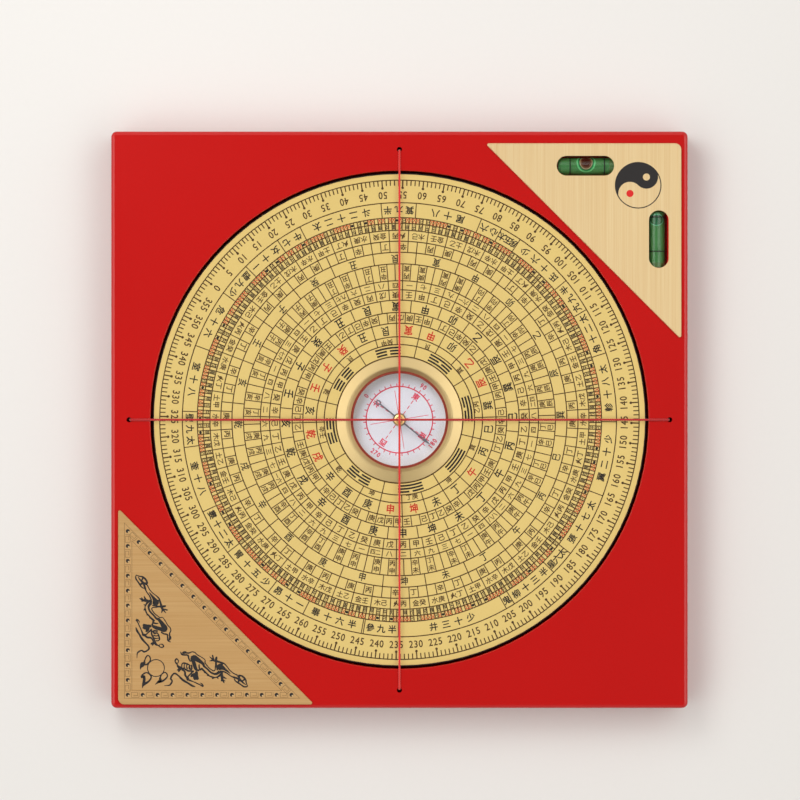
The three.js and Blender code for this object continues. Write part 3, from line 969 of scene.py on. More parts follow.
def character(shape: str, steps: int, weight: float) -> Mesh:
    """Cuts a character, with its strokes grown evenly, so that the smallest gaps close cleanly.

    Args:
        shape: the character.
        steps: steps on each of its curves.
        weight: how far each edge moves out, over the body size.

    Returns:
        Its mesh, one unit high, with its middle over the origin.
    """
    start, after, middle = grown_outline(shape, steps, weight)
    end = start[after]
    edges = [(i, int(j)) for i, j in enumerate(after)]
    spots, _, faces, *_ = delaunay_2d_cdt([Vector(p) for p in start], edges, [], 0, 1e-5)
    work = bmesh.new()
    verts = [work.verts.new((*spot, 0)) for spot in spots]
    for face in faces:
        x, y = np.mean([spots[i] for i in face], axis=0)
        side = (end[:, 0] - start[:, 0]) * (y - start[:, 1]) - (x - start[:, 0]) * (end[:, 1] - start[:, 1])
        rising = (start[:, 1] <= y) & (end[:, 1] > y) & (side > 0)
        falling = (start[:, 1] > y) & (end[:, 1] <= y) & (side < 0)
        if rising.sum() != falling.sum():
            work.faces.new([verts[i] for i in face])
    bmesh.ops.delete(work, geom=[v for v in work.verts if not v.link_faces], context="VERTS")
    made = bmesh.ops.extrude_face_region(work, geom=list(work.faces), use_keep_orig=True)
    for vert in (v for v in made["geom"] if isinstance(v, bmesh.types.BMVert)):
        vert.co.z = 1
    mesh = mesh_from(work, "character")
    mesh.transform(Matrix.Translation((-middle[0], -middle[1], 0)))
    return mesh


@dataclass
class Stencils:
    """The set of flat shapes and characters that the scales are made from.

    Args:
        dot_sides: sides of the dot.
        order: number of each shape in the set, by the shape and how it is cut.
    """

    dot_sides: int = 12
    order: dict[tuple[str, Lettering | None], int] = field(default_factory=dict)

    def __post_init__(self) -> None:
        """Makes the collection and the plain shapes."""
        self.collection = bpy.data.collections.new("stencils")
        square = [(-0.5, -0.5), (0.5, -0.5), (0.5, 0.5), (-0.5, 0.5)]
        for shape, outline in ((BAR, square), (DOT, circle(0.5, self.dot_sides))):
            mesh = filled_outline("plain", [outline], 0, 1)
            mesh.transform(Matrix.Scale(1 / MM, 4))
            self.keep((shape, None), mesh)

    def keep(self, key: tuple[str, Lettering | None], mesh: Mesh) -> None:
        """Adds a shape, one unit high, to the set."""
        self.order[key] = len(self.order)
        self.collection.objects.link(bpy.data.objects.new(f"shape_{self.order[key]:04d}", mesh))

    def index(self, shape: str, style: Lettering) -> int:
        """Finds a shape, and makes the character if it is new.

        Args:
            shape: a character or a plain shape.
            style: how a character is cut.

        Returns:
            Its number in the set.
        """
        key = (shape, None if shape in (BAR, DOT) else style)
        if key not in self.order:
            self.keep(key, character(shape, *style.value))
        return self.order[key]

    def points(self, marks: Sequence[Mark], low: float, height: float) -> Mesh:
        """Makes the points that carry the marks.

        Args:
            marks: the marks.
            low: height of their underside, in millimetres.
            height: their thickness, in millimetres.

        Returns:
            A mesh of points with the attributes that the rule reads.
        """
        mesh = bpy.data.meshes.new("marks")
        mesh.from_pydata([Vector((m.x, m.y, low)) * MM for m in marks], [], [])
        values = {
            "shape": [self.index(m.shape, m.style) for m in marks],
            "turn": [(0, 0, m.turn) for m in marks],
            "size": [(m.width * MM, m.height * MM, height * MM) for m in marks],
        }
        for name, kind in PlacedShapes.attributes.items():
            data = mesh.attributes.new(name, kind, "POINT").data
            data.foreach_set("value" if kind == "INT" else "vector", np.ravel(values[name]))
        return mesh

    def clear(self) -> None:
        """Removes the set once every scale is made."""
        bpy.data.batch_remove([*self.collection.objects, self.collection])


@dataclass
class Workshop:
    """The rules, stencils and materials that the sub-assemblies share.

    Args:
        even_marks: marks round the centre.
        ring_line: a line round the centre.
        placed_shapes: stencils set out one by one.
        laid_thread: a thread along a path.
        row_along_path: a shape repeated along a path.
        stencils: the flat shapes.
        materials: each finish's material, made once.
    """

    even_marks: Rule = field(default_factory=EvenMarks)
    ring_line: Rule = field(default_factory=RingLine)
    placed_shapes: Rule = field(default_factory=PlacedShapes)
    laid_thread: Rule = field(default_factory=LaidThread)
    row_along_path: Rule = field(default_factory=RowAlongPath)
    stencils: Stencils = field(default_factory=Stencils)
    materials: dict[Surface, Material] = field(default_factory=dict)

    def material(self, finish: Surface) -> Material:
        """Gives a finish's material, made once.

        Args:
            finish: the finish.

        Returns:
            Its material.
        """
        if finish not in self.materials:
            self.materials[finish] = finish.material()
        return self.materials[finish]

    def place(self, marks: Sequence[Mark], low: float, height: float, finish: Surface) -> Mesh:
        """Makes marks as one mesh.

        Args:
            marks: the marks.
            low: height of their underside, in millimetres.
            height: their thickness, in millimetres.
            finish: their finish.

        Returns:
            The mesh, in metres.
        """
        points = self.stencils.points(marks, low, height)
        values = {"shapes": self.stencils.collection, "material": self.material(finish)}
        return self.placed_shapes.apply(points, **values)

    def piece(
        self, name: str, mesh: Mesh, finish: Surface, body: str, slot: str = "", stands_for: str = ""
    ) -> None:
        """Dresses a mesh and fixes it to a body.

        Args:
            name: the piece's name.
            mesh: its mesh, in metres.
            finish: its finish.
            body: the CAD body that it moves with.
            slot: the record's material slot, if it has one. Not used.
            stands_for: the CAD node that it stands for, if there is one.
        """
        mesh.materials.clear()
        mesh.materials.append(self.material(finish))
        made = new_object(name, mesh)
        if stands_for:
            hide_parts(stands_for)
        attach(made, body)
        LOG.info("%s: %d faces, rides on %s", name, len(mesh.polygons), body)

    def stand_in(
        self, node: str, mesh: Mesh, finish: Surface, body: str, slot: str, ending: str = "fine"
    ) -> None:
        """Dresses a finer mesh that stands for a CAD node.

        Args:
            node: the CAD node.
            mesh: the finer mesh, in metres.
            finish: its finish.
            body: the CAD body that it moves with.
            slot: the record's material slot.
            ending: end of the piece's name, after the node's.
        """
        self.piece(f"{node}_{ending}", mesh, finish, body, slot, node)

    def dress(self, node: str, finish: Surface) -> None:
        """Gives a CAD node that stays its material.

        Args:
            node: the CAD node.
            finish: its finish.
        """
        kept = bpy.data.objects[node]
        if not kept.data.materials:
            kept.data.materials.append(None)
        for slot in kept.material_slots:
            slot.material = self.material(finish)
        LOG.info("%s: kept, %s", node, finish.name)


# The dial's scales


class Fill(Enum):
    """What a scale mark is filled with: the piece that it belongs to, and its paint."""

    SIDES = ("dial_lines", LINE_FILL)
    NUMBERS = ("dial_numbers", LINE_FILL)
    CHARACTERS = ("dial_characters", DARK_FILL)
    SMALL_SIGNS = ("dial_small_signs", LINE_FILL)
    RED = ("dial_red_characters", RED_FILL)


@dataclass(frozen=True)
class Row:
    """How the characters of one ring are written.

    Args:
        radius: radius of their middles, in millimetres.
        size: their body size.
        wide: their width over their usual width.
        pitch: from one to the next in a text, in millimetres.
        style: how they are cut.
    """

    radius: float
    size: float
    wide: float = 1.0
    pitch: float = 0.0
    style: Lettering = Lettering.FINE


@dataclass
class DialScales:
    """The rings of lines, numbers and characters etched into the brass face.

    Args:
        depth: how far a filled line reaches into the brass.
        proud: how far the fill stands over the brass.
        line: width of a ring line.
        divider: width of a cell's side.
        sides: flats round a ring line.
        rings: radius of each ring line, from the outside in.
        cells: for each ring of even cells, its outer line, its count of cells and the first one's bearing.
        ticks: count, length and width of the degree marks.
        plates: for each plate, its outer line, the first mountain's bearing and how they are written.
        luck: what a letter of the degree signs stands for.
        degree_signs: the ring of lucky and unlucky degrees, as a pattern that repeats.
        inner_notes: the texts of the ring inside the earth plate.
        mansions: the lunar mansions' texts, each with its width in old degrees.
    """

    depth: float = 0.03
    proud: float = 0.02
    line: float = 0.38
    divider: float = 0.34
    sides: int = 192
    rings: tuple[float, ...] = (
        86.06, 77.96, 72.59, 70.58, 68.06, 64.13, 60.15, 56.0, 49.95, 46.67, 42.97, 38.54, 34.68, 29.83,
        27.0, 22.8,
    )
    cells: tuple[tuple[int, int, float], ...] = (
        (2, 360, 0), (3, 360, 0), (4, 60, -3), (5, 120, 0), (6, 24, 0), (7, 120, -7.5), (8, 60, 1.5),
        (9, 60, 1.5), (10, 24, 0), (11, 72, -12.5), (12, 24, -7.5), (13, 24, -7.5), (14, 8, 22.5),
    )
    ticks: tuple[tuple[int, float, float], ...] = ((360, 2.0, 0.4), (72, 2.5, 0.46))
    plates: tuple[tuple[int, float, Row], ...] = (
        (6, 7.5, Row(57.9, 3.3, 0.86, style=Lettering.THIN)),
        (10, -7.5, Row(40.7, 3.7, 0.86, style=Lettering.BRUSH)),
        (12, 0, Row(32.2, 3.7, 0.86, style=Lettering.THIN)),
    )
    luck: tuple[tuple[str, str, Fill, Row], ...] = (
        ("x", "乂", Fill.RED, Row(71.6, 1.8, 0.74, style=Lettering.BRUSH)),
        ("o", DOT, Fill.CHARACTERS, Row(71.6, 1.0)),
        ("n", "己", Fill.CHARACTERS, Row(71.6, 1.7, 0.66)),
    )
    degree_signs: str = "xxxxn.nxxxxxo.n.oxx.xx.xxoxn"
    inner_notes: str = "艮 癸甲 艮 巽 乙丙 巽 坤 丁庚 坤 乾 辛壬 乾"
    mansions: str = (
        "虛九少 9.25,女十一 11,牛七 7,斗二十二太 22.75,箕九半 9.5,尾十八 18,心六 6,房五太 5.75,氐十六少 16.5,"
        "亢九半 9.5,角十二太 12.75,軫十八太 18.75,翼二十少 20.25,張十七太 17.75,星六太 6.75,柳十三半 13.5,"
        "鬼 2.5,井三十少 30.25,參九半 9.5, 0.5,畢十六半 16.5,昴十一 11,胃十五少 15.25,婁十二太 12.75,"
        "奎十八 18,壁九太 9.75,室十八 18,危十六 16"
    )

    def __post_init__(self) -> None:
        """Works out the height of the fill and opens a list of marks for each fill."""
        self.low = FACE - self.depth
        self.height = self.depth + self.proud
        self.marks: dict[Fill, list[Mark]] = {fill: [] for fill in Fill}

    def write(self, fill: Fill, text: str, bearing: float, row: Row) -> None:
        """Sets characters side by side, read with the centre at the top.

        Args:
            fill: what they are filled with.
            text: the characters, or one plain shape.
            bearing: bearing of the text's middle, in degrees.
            row: how they are written.
        """
        step = row.pitch / row.radius
        first = math.radians(ZERO + bearing) + step * (len(text) - 1) / 2
        for i, shape in enumerate(text):
            angle = first - step * i
            place = (row.radius * math.sin(angle), row.radius * math.cos(angle))
            mark = Mark(shape, *place, math.pi - angle, row.size * row.wide, row.size, row.style)
            self.marks[fill].append(mark)

    def etched_lines(self, shop: Workshop) -> list[Mesh]:
        """Draws the line round each ring, the sides of its even cells and the degree marks.

        Args:
            shop: the workshop.

        Returns:
            Their meshes.
        """
        outermost, below = self.rings[0], self.height - LAYER
        blocks = [
            (count, first, self.rings[ring], self.rings[ring] - self.rings[ring + 1], self.divider, below)
            for ring, count, first in self.cells
        ]
        blocks += [
            (count, 0, outermost, length, width, below + i * LAYER / 2)
            for i, (count, length, width) in enumerate(self.ticks)
        ]
        same = {"low": self.low, "material": shop.material(LINE_FILL)}
        meshes = []
        for radius in self.rings:
            ring = {"radius": radius, "width": self.line, "height": self.height, "sides": self.sides}
            meshes.append(shop.ring_line.apply(**ring, **same))
        for count, first, outer, length, width, height in blocks:
            row = {"count": count, "first": ZERO + first, "step": 360 / count, "radius": outer - length / 2}
            meshes.append(shop.even_marks.apply(**row, length=length, width=width, height=height, **same))
        return meshes

    def degree_numbers(self) -> None:
        """Writes every fifth degree, with a dot over it."""
        for degrees in range(0, 360, 5):
            self.write(Fill.NUMBERS, DOT, degrees, Row(83.3, 0.95))
            self.write(Fill.NUMBERS, str(degrees), degrees, Row(80.75, 3.6, 0.86, 1.74, Lettering.NUMBER))

    def mansion_ring(self) -> None:
        """Writes the lunar mansions, each over its width, and draws the sides between them."""
        outer, inner = self.rings[1:3]
        side = Row((outer + inner) / 2, outer - inner, self.divider / (outer - inner))
        written = Row(75.3, 3.1, style=Lettering.BRUSH)
        loosest, narrowest_full, filled_share = 4.6, 2.6, 0.96
        mansions = [row.split(" ") for row in self.mansions.split(",")]
        total = sum(float(width) for _, width in mansions)
        bearing = 0.0
        for text, width in mansions:
            degrees = float(width) * 360 / total
            self.write(Fill.SIDES, BAR, bearing, side)
            room = math.radians(degrees) * written.radius / max(len(text), 1)
            pitch = min(loosest, room * filled_share)
            fitted = replace(written, pitch=pitch, wide=min(1.0, pitch / narrowest_full))
            self.write(Fill.CHARACTERS, text, bearing + degrees / 2, fitted)
            bearing += degrees

    def fine_rings(self) -> None:
        """Writes the ring of lucky and unlucky degrees and the ring of small signs under it."""
        for degree in range(360):
            sign = self.degree_signs[degree % len(self.degree_signs)]
            for letter, shape, fill, row in self.luck:
                if sign == letter:
                    self.write(fill, shape, degree + 0.5, row)
        for cell in range(0, 360, 2):
            self.write(Fill.CHARACTERS, (STEMS + BRANCHES)[cell * 7 % 22], cell + 0.5, Row(69.3, 2.1, 0.55))

    def note_rings(self) -> None:
        """Writes the sixty notes, and the two rings of the fine gold between the plates."""
        for cell in range(60):
            text = ELEMENTS[(cell * 3 + cell // 2) % 5] + STEMS[(cell * 3 + 5) % 10]
            self.write(Fill.SMALL_SIGNS, text, cell * 6, Row(66.05, 2.4, pitch=2.45))
        for sector in range(24):
            branch = BRANCHES[sector // 2]
            for place, stem in zip((4.5, 10.5), ("丙庚", "丁辛")[sector // 2 % 2]):
                bearing = 15 * sector + place
                self.write(Fill.SMALL_SIGNS, stem, bearing, Row(62.1, 2.5))
                self.write(Fill.SMALL_SIGNS, stem, bearing - 7.5, Row(51.6, 2.3))
                self.write(Fill.SMALL_SIGNS, branch, bearing - 7.5, Row(54.3, 2.3))

    def mountain_rings(self) -> None:
        """Writes the heaven, human and earth plates with their twenty-four mountains."""
        innermost = self.plates[-1][0]
        for ring, first, row in self.plates:
            for sector, mountain in enumerate(MOUNTAINS):
                red = ring == innermost and mountain in RED_MOUNTAINS
                written = replace(row, style=Lettering.BRUSH) if red else row
                self.write(Fill.RED if red else Fill.CHARACTERS, mountain, first + 15 * sector, written)

    def sixty_rings(self) -> None:
        """Writes the numerals and stems of the sixty cells, and the seventy-two cells inside them."""
        for cell in range(60):
            text = NUMERALS[(cell * 5 + 3) % 8]
            if cell % 9 == 4:
                text += NUMERALS[(cell * 3 + 1) % 8]
            row = Row(48.3, 2.1, 0.9 if len(text) > 1 else 1.1, 1.9)
            self.write(Fill.SMALL_SIGNS, text, 4.5 + 6 * cell, row)
        for branch in range(12):
            for place in range(-2, 3):
                stem = STEMS[(branch + 2 * place + 4) % 10]
                self.write(Fill.SMALL_SIGNS, stem, 30 * branch + 6 * place - 7.5, Row(44.85, 2.6))
                self.write(Fill.SMALL_SIGNS, stem, 30 * branch + 5 * place, Row(36.6, 2.5))
        for sector, text in zip(range(1, 24, 2), self.inner_notes.split()):
            self.write(Fill.SMALL_SIGNS, text, 15 * sector, Row(28.1, 2.2, pitch=2.2))

    def trigrams(self) -> list[Mesh]:
        """Draws the eight trigrams as curved bars, the bottom line outermost.

        Returns:
            The bars' meshes.
        """
        half, gap, thick = 10.4, 1.3, 0.64
        radii = (26.0, 24.9, 23.8)
        signs = ("000", "100", "101", "110", "111", "011", "010", "001")
        bars = []
        for place, sign in enumerate(signs):
            middle = 90 - ZERO - 45 * place
            for radius, whole in zip(radii, sign):
                for first, last in [(-half, half)] if whole == "1" else [(-half, -gap), (gap, half)]:
                    outer = circle(radius + thick / 2, 6, first=middle - last, last=middle - first)
                    inner = circle(radius - thick / 2, 6, first=middle - first, last=middle - last)
                    bars.append(filled_outline("bar", [outer + inner], self.low, self.low + self.height))
        return bars

    def build(self, shop: Workshop) -> None:
        """Builds every ring and fixes them to the dial.

        Args:
            shop: the workshop.
        """
        self.degree_numbers()
        self.mansion_ring()
        self.fine_rings()
        self.note_rings()
        self.mountain_rings()
        self.sixty_rings()
        for fill, marks in self.marks.items():
            name, paint = fill.value
            lines = fill is Fill.SIDES
            mesh = shop.place(marks, self.low, self.height + (-LAYER if lines else LAYER), paint)
            if lines:
                mesh = joined(name, [*self.etched_lines(shop), mesh])
            shop.piece(name, mesh, paint, "dial")
        shop.piece("dial_trigrams", joined("dial_trigrams", self.trigrams()), DARK_FILL, "dial")


@dataclass
class Dial:
    """The turning dial: its black core and brass face.

    Args:
        scales: what is etched into the face.
    """

    scales: DialScales = field(default_factory=DialScales)

    def build(self, shop: Workshop) -> None:
        """Builds the dial.

        Args:
            shop: the workshop.
        """
        shop.stand_in("dial_core", smoothed_copy("dial_core"), BLACK_BAKELITE, "dial", "black_bakelite")
        shop.stand_in("dial_face", smoothed_copy("dial_face"), ETCHED_BRASS, "dial", "etched_brass")
        self.scales.build(shop)


# The capsule


@dataclass
class Capsule:
    """The small magnetic compass in the dial's centre. A profile gives radius and height of its corners.

    Args:
        sides: flats round its turned pieces.
        cup: profile of the brass cup.
        glass: profile of the lens.
        gasket: profile of the rubber between the lens and the bezel.
        bezel_seat: profile of the bezel's underside.
        bezel_rise: its back, from the outer edge up to the crest.
        bezel_fall: its inner side, from the crest down to the lip.
        cap: profile of the needle's cap, up to its dome.
        cap_dome: profile of the dome.
        card_top: height of the card's face.
        circle_radius: radius of the printed circle.
        circle_line: width of its line.
        card_marks: for each ring of straight marks, their count, the first one's bearing, their inner
            radius, their length and their width.
        number_radius: radius of the numbers' middles.
        digit: width and height of a digit.
        digit_pitch: from one digit to the next.
        sign_radius: radius of the directions' middles.
        sign_size: body size of a direction's character.
    """

    sides: int = 128
    cup: Profile = (
        (0, 8.6), (19.7, 8.6), (20.1, 9.0), (20.1, 16.1), (18.9, 16.1), (18.9, 14.9), (17.6, 14.9),
        (17.6, 9.6), (0, 9.6),
    )
    glass: Profile = ((0, 14.9), (18.65, 14.9), (18.75, 15.0), (18.75, 16.0), (18.65, 16.1), (0, 16.1))
    gasket: Profile = ((16.65, 16.1), (18.75, 16.1), (18.75, 16.4), (16.85, 16.4), (16.65, 16.25))
    bezel_seat: Profile = ((17.5, 16.4), (18.9, 16.4), (18.9, 16.6), (22.6, 16.6))
    bezel_rise: Profile = ((22.6, 16.7), (22.5, 16.86), (22.2, 16.97), (19.5, 17.63), (19.1, 17.69))
    bezel_fall: Profile = ((19.1, 17.69), (18.75, 17.62), (17.85, 16.86), (17.6, 16.66), (17.5, 16.5))
    cap: Profile = (
        (0, 13.7), (0.65, 12.2), (1.6, 12.2), (1.7, 12.3), (1.7, 12.5), (1.05, 12.55), (1.05, 13.2),
        (1.9, 13.2), (1.95, 13.26), (1.9, 13.34),
    )
    cap_dome: Profile = ((1.35, 13.5), (1.3, 13.7), (1.1, 14.0), (0.7, 14.25), (0.25, 14.38))
    card_top: float = 10.2
    circle_radius: float = 12.0
    circle_line: float = 0.42
    card_marks: tuple[tuple[int, float, float, float, float], ...] = (
        (36, 0, 12.0, 1.1, 0.32), (4, 45, 1.6, 9.0, 0.2), (4, 0, 2.4, 1.4, 0.28), (4, 0, 4.8, 1.4, 0.28),
        (4, 0, 7.1, 1.4, 0.28),
    )
    number_radius: float = 14.7
    digit: Point = (2.1, 2.4)
    digit_pitch: float = 1.3
    sign_radius: float = 10.1
    sign_size: float = 2.7

    def shells(self, shop: Workshop) -> None:
        """Turns the cup, glass, gasket and bezel, finer than the frame's.

        Args:
            shop: the workshop.
        """
        bezel = [*self.bezel_seat, *smooth_path(self.bezel_rise, 5), *smooth_path(self.bezel_fall, 5)[1:]]
        for node, profile, finish, slot in (
            ("capsule_cup", self.cup, TURNED_BRASS, "turned_brass"),
            ("lens", self.glass, CLEAR_GLASS, "clear_glass"),
            ("lens_gasket", self.gasket, RED_RUBBER, "red_rubber"),
            ("capsule_bezel", bezel, TURNED_BRASS, "turned_brass"),
        ):
            shop.stand_in(node, turned(node, profile, self.sides), finish, "dial", slot)

    def directions(self) -> list[Mark]:
        """Sets out the four directions and their numbers, the two lower ones to be read from outside.

        Returns:
            Their marks.
        """
        marks = []
        for degrees, sign in zip((0, 90, 180, 270), "北東南西"):
            angle = math.radians(ZERO + degrees)
            across, up = math.sin(angle), math.cos(angle)
            place = (self.sign_radius * across, self.sign_radius * up)
            marks.append(Mark(sign, *place, -angle, self.sign_size, self.sign_size, Lettering.PRINT))
            turn = math.pi - angle if degrees >= 180 else -angle
            text = str(degrees)
            for i, digit in enumerate(text):
                shift = (i - (len(text) - 1) / 2) * self.digit_pitch
                x = self.number_radius * across + shift * math.cos(turn)
                y = self.number_radius * up + shift * math.sin(turn)
                marks.append(Mark(digit, x, y, turn, *self.digit, Lettering.PRINT))
        return marks

    def card_print(self, shop: Workshop) -> None:
        """Prints the circle, ticks, rays, numbers and directions on the card.

        Args:
            shop: the workshop.
        """
        low, height = self.card_top - INK, 2 * INK
        same = {"low": low, "material": shop.material(CARD_INK)}
        ring = {"radius": self.circle_radius, "width": self.circle_line, "height": height, "sides": 96}
        meshes = [shop.ring_line.apply(**ring, **same)]
        for count, first, inner, length, width in self.card_marks:
            row = {"count": count, "first": ZERO + first, "step": 360 / count, "radius": inner + length / 2}
            row |= {"length": length, "width": width, "height": height - LAYER}
            meshes.append(shop.even_marks.apply(**row, **same))
        meshes.append(shop.place(self.directions(), low, height + LAYER, CARD_INK))
        shop.piece("card_print", joined("card_print", meshes), CARD_INK, "dial")

    def build(self, shop: Workshop) -> None:
        """Builds the capsule.

        Args:
            shop: the workshop.
        """
        self.shells(shop)
        shop.dress("compass_card", PRINTED_CARD)
        self.card_print(shop)
        cap = [*self.cap, *smooth_path(self.cap_dome, 4), (0, 14.4)]
        shop.stand_in("needle_cap", turned("needle_cap", cap, 48), CAP_BRASS, "needle", "turned_brass")
        shop.dress("needle", BLUED_STEEL)
        shop.dress("needle_pivot", BLUED_STEEL)


# The board and what is fixed to it


@dataclass
class Threads:
    """The two sighting threads with their knots.

    Args:
        radius: the thread's radius.
        lay: length of one turn of its strands.
        step: from one section of the thread to the next.
        hollow: depth of the grooves between the strands, over the radius.
        hole_out: from the centre to a thread hole.
        drop_out: from the centre to where the thread drops, against the hole's near side.
        bend: radius of the bend over a hole's edge.
        run: height of the lower thread, and of both at the holes.
        crossing: height of the upper thread over the centre.
        knot_top: height of a knot's top.
        tuck: how far under it the thread ends.
        knot_reach: from a knot's middle to its side.
    """

    radius: float = 0.43
    lay: float = 2.4
    step: float = 0.3
    hollow: float = 0.12
    hole_out: float = 97.0
    drop_out: float = 96.58
    bend: float = 0.5
    run: float = 18.4
    crossing: float = 19.06
    knot_top: float = 2.9
    tuck: float = 0.6
    knot_reach: float = 0.95

    def route(self, middle: float) -> list[tuple[float, float, float]]:
        """Runs a thread along X from knot to knot.

        Args:
            middle: its height over the centre, in millimetres.

        Returns:
            The points of its path.
        """
        bend = circle(self.bend, 8, (self.drop_out - self.bend, self.run - self.bend), 0, 90)
        half = [(self.hole_out, 0.0, self.knot_top - self.tuck), *((x, 0.0, z) for x, z in bend)]
        return [*half, (0.0, 0.0, middle), *((-x, y, z) for x, y, z in reversed(half))]

    def knot(self, end: float) -> list[tuple[float, float, float]]:
        """Runs a thread's end through a simple knot, a trefoil, under the board.

        Args:
            end: 1 or -1, the end of the thread.

        Returns:
            The points of the knot's closed path.
        """
        steps, rise, middle = 48, 0.62, self.knot_top - 1.1
        out = []
        for t in (TURN * step / steps for step in range(steps)):
            x = (math.sin(t) + 2 * math.sin(2 * t)) / 3 * self.knot_reach
            y = (math.cos(t) - 2 * math.cos(2 * t)) / 3 * self.knot_reach
            out.append((end * self.hole_out + x, y, middle - math.sin(3 * t) * rise))
        return out

    def build(self, shop: Workshop) -> None:
        """Builds both threads.

        Args:
            shop: the workshop.
        """
        sizes = {"radius": self.radius, "lay": self.lay, "step": self.step, "hollow": self.hollow}
        # The across thread, which runs under the other, takes the red darkened as painted shade.
        for name, middle, turn, finish in (
            ("across_thread", self.run, 0, SHADED_THREAD),
            ("upright_thread", self.crossing, 90, RED_THREAD),
        ):
            paths = [path_mesh(self.route(middle))]
            paths += [path_mesh(self.knot(end), cyclic=True) for end in (1, -1)]
            material = shop.material(finish)
            mesh = joined(name, [shop.laid_thread.apply(path, material=material, **sizes) for path in paths])
            mesh.transform(Matrix.Rotation(math.radians(turn), 4, "Z"))
            shop.stand_in(name, mesh, finish, "board", "red_thread", "laid")


@dataclass
class SpiritLevel:
    """One vial: a clear tube with green fluid, a bubble and two marks.

    Args:
        name: across or upright.
        x: place of its middle.
        y: place of its middle.
        turn: turn of its closed end from -X, in degrees anticlockwise.
        bubble: the bubble's place along it from its middle.
        lean: how far round the tube the bubble sits, in degrees towards +Y.
        spread: how far round the tube it reaches either way, in degrees.
        marks: places of the two marks along it.
        finish: the bubble's finish.
        bubble_reach: how far along the tube the bubble reaches either way.
        half: half the tube's length.
        fluid: radius and place along the tube of the fluid's corners.
        mark_half: half the width of a mark.
        axis: height of the tube's middle.
        radius: the tube's radius.
        bore: the radius of its bore.
        sides: flats round it.
    """

    name: str
    x: float
    y: float
    turn: float
    bubble: float
    lean: float
    spread: float
    marks: tuple[float, float]
    finish: BubbleFinish
    bubble_reach: float = 3.5
    half: float = 10.0
    fluid: Profile = ((0, -9.7), (2.1, -9.6), (2.55, -9.1), (2.55, 8.35), (0, 8.35))
    mark_half: float = 0.19
    axis: float = 14.65
    radius: float = 3.15
    bore: float = 2.55
    sides: int = 48

    def placed(self, mesh: Mesh) -> Mesh:
        """Moves a mesh that lies along X into the vial's place.

        Args:
            mesh: the mesh.

        Returns:
            The same mesh.
        """
        turn = Matrix.Rotation(math.radians(self.turn), 4, "Z")
        mesh.transform(Matrix.Translation(Vector((self.x, self.y, self.axis)) * MM) @ turn)
        return mesh

    def round_piece(self, profile: Sequence[Point]) -> Mesh:
        """Turns a profile about the vial's length and moves it into place.

        Args:
            profile: radius and place along the vial of each corner, in millimetres.

        Returns:
            Its mesh.
        """
        mesh = turned("round", profile, self.sides)
        mesh.transform(Matrix.Rotation(math.pi / 2, 4, "Y"))
        return self.placed(mesh)

    def bubble_mesh(self) -> Mesh:
        """Makes the bubble as a thin lens that lies against the tube's wall.

        Returns:
            A closed mesh, with how far out each point stands as an attribute.
        """
        rings, rim_lift, crown, hollow = 16, 0.03, 0.12, 0.1
        work = bmesh.new()
        rim = work.verts.layers.float.new(RIM)
        rows = []
        for step in range(2 * rings + 1):
            out = 1 - abs(1 - step / rings)
            dome = 1 - out**2
            radius = self.bore + (rim_lift + crown * dome if step <= rings else -hollow * dome)
            row = []
            for across, round_it in circle(out, self.sides) if out else [(0, 0)]:
                lean = math.radians(self.lean + self.spread * round_it)
                along = self.bubble + self.bubble_reach * across
                place = Vector((along, radius * math.sin(lean), radius * math.cos(lean)))
                row.append(work.verts.new(place * MM))
                row[-1][rim] = out
            rows.append(row * (self.sides // len(row)))
        bridge(work, rows)
        return self.placed(soften(mesh_from(work, "bubble"), 60))

    def build(self, shop: Workshop) -> None:
        """Builds the vial.

        Args:
            shop: the workshop.
        """
        # The tube is drawn solid: where the fluid fills its bore, light bends once between the two.
        wall = self.radius - self.bore
        shoulder = circle(wall, 5, (self.bore, wall - self.half), -90, 0)
        tube = [(0, -self.half), *shoulder, (self.radius, self.half), (0, self.half)]
        vial = self.name + "_vial"
        shop.stand_in(vial + "_tube", self.round_piece(tube), CLEAR_ACRYLIC, "board", "clear_acrylic")
        shop.stand_in(vial + "_fluid", self.round_piece(self.fluid), GREEN_FLUID, "board", "green_fluid")
        inner, outer, half = self.radius - INK, self.radius + 2 * INK, self.mark_half
        rings = [
            self.round_piece([(inner, at - half), (outer, at - half), (outer, at + half), (inner, at + half)])
            for at in self.marks
        ]
        shop.piece(vial + "_marks", joined(vial + "_marks", rings), BLACK_INK, "board")
        shop.stand_in(vial + "_bubble", self.bubble_mesh(), self.finish, self.name + "_bubble", "air_bubble")
        shop.dress(vial + "_plug", GREEN_PLUG)


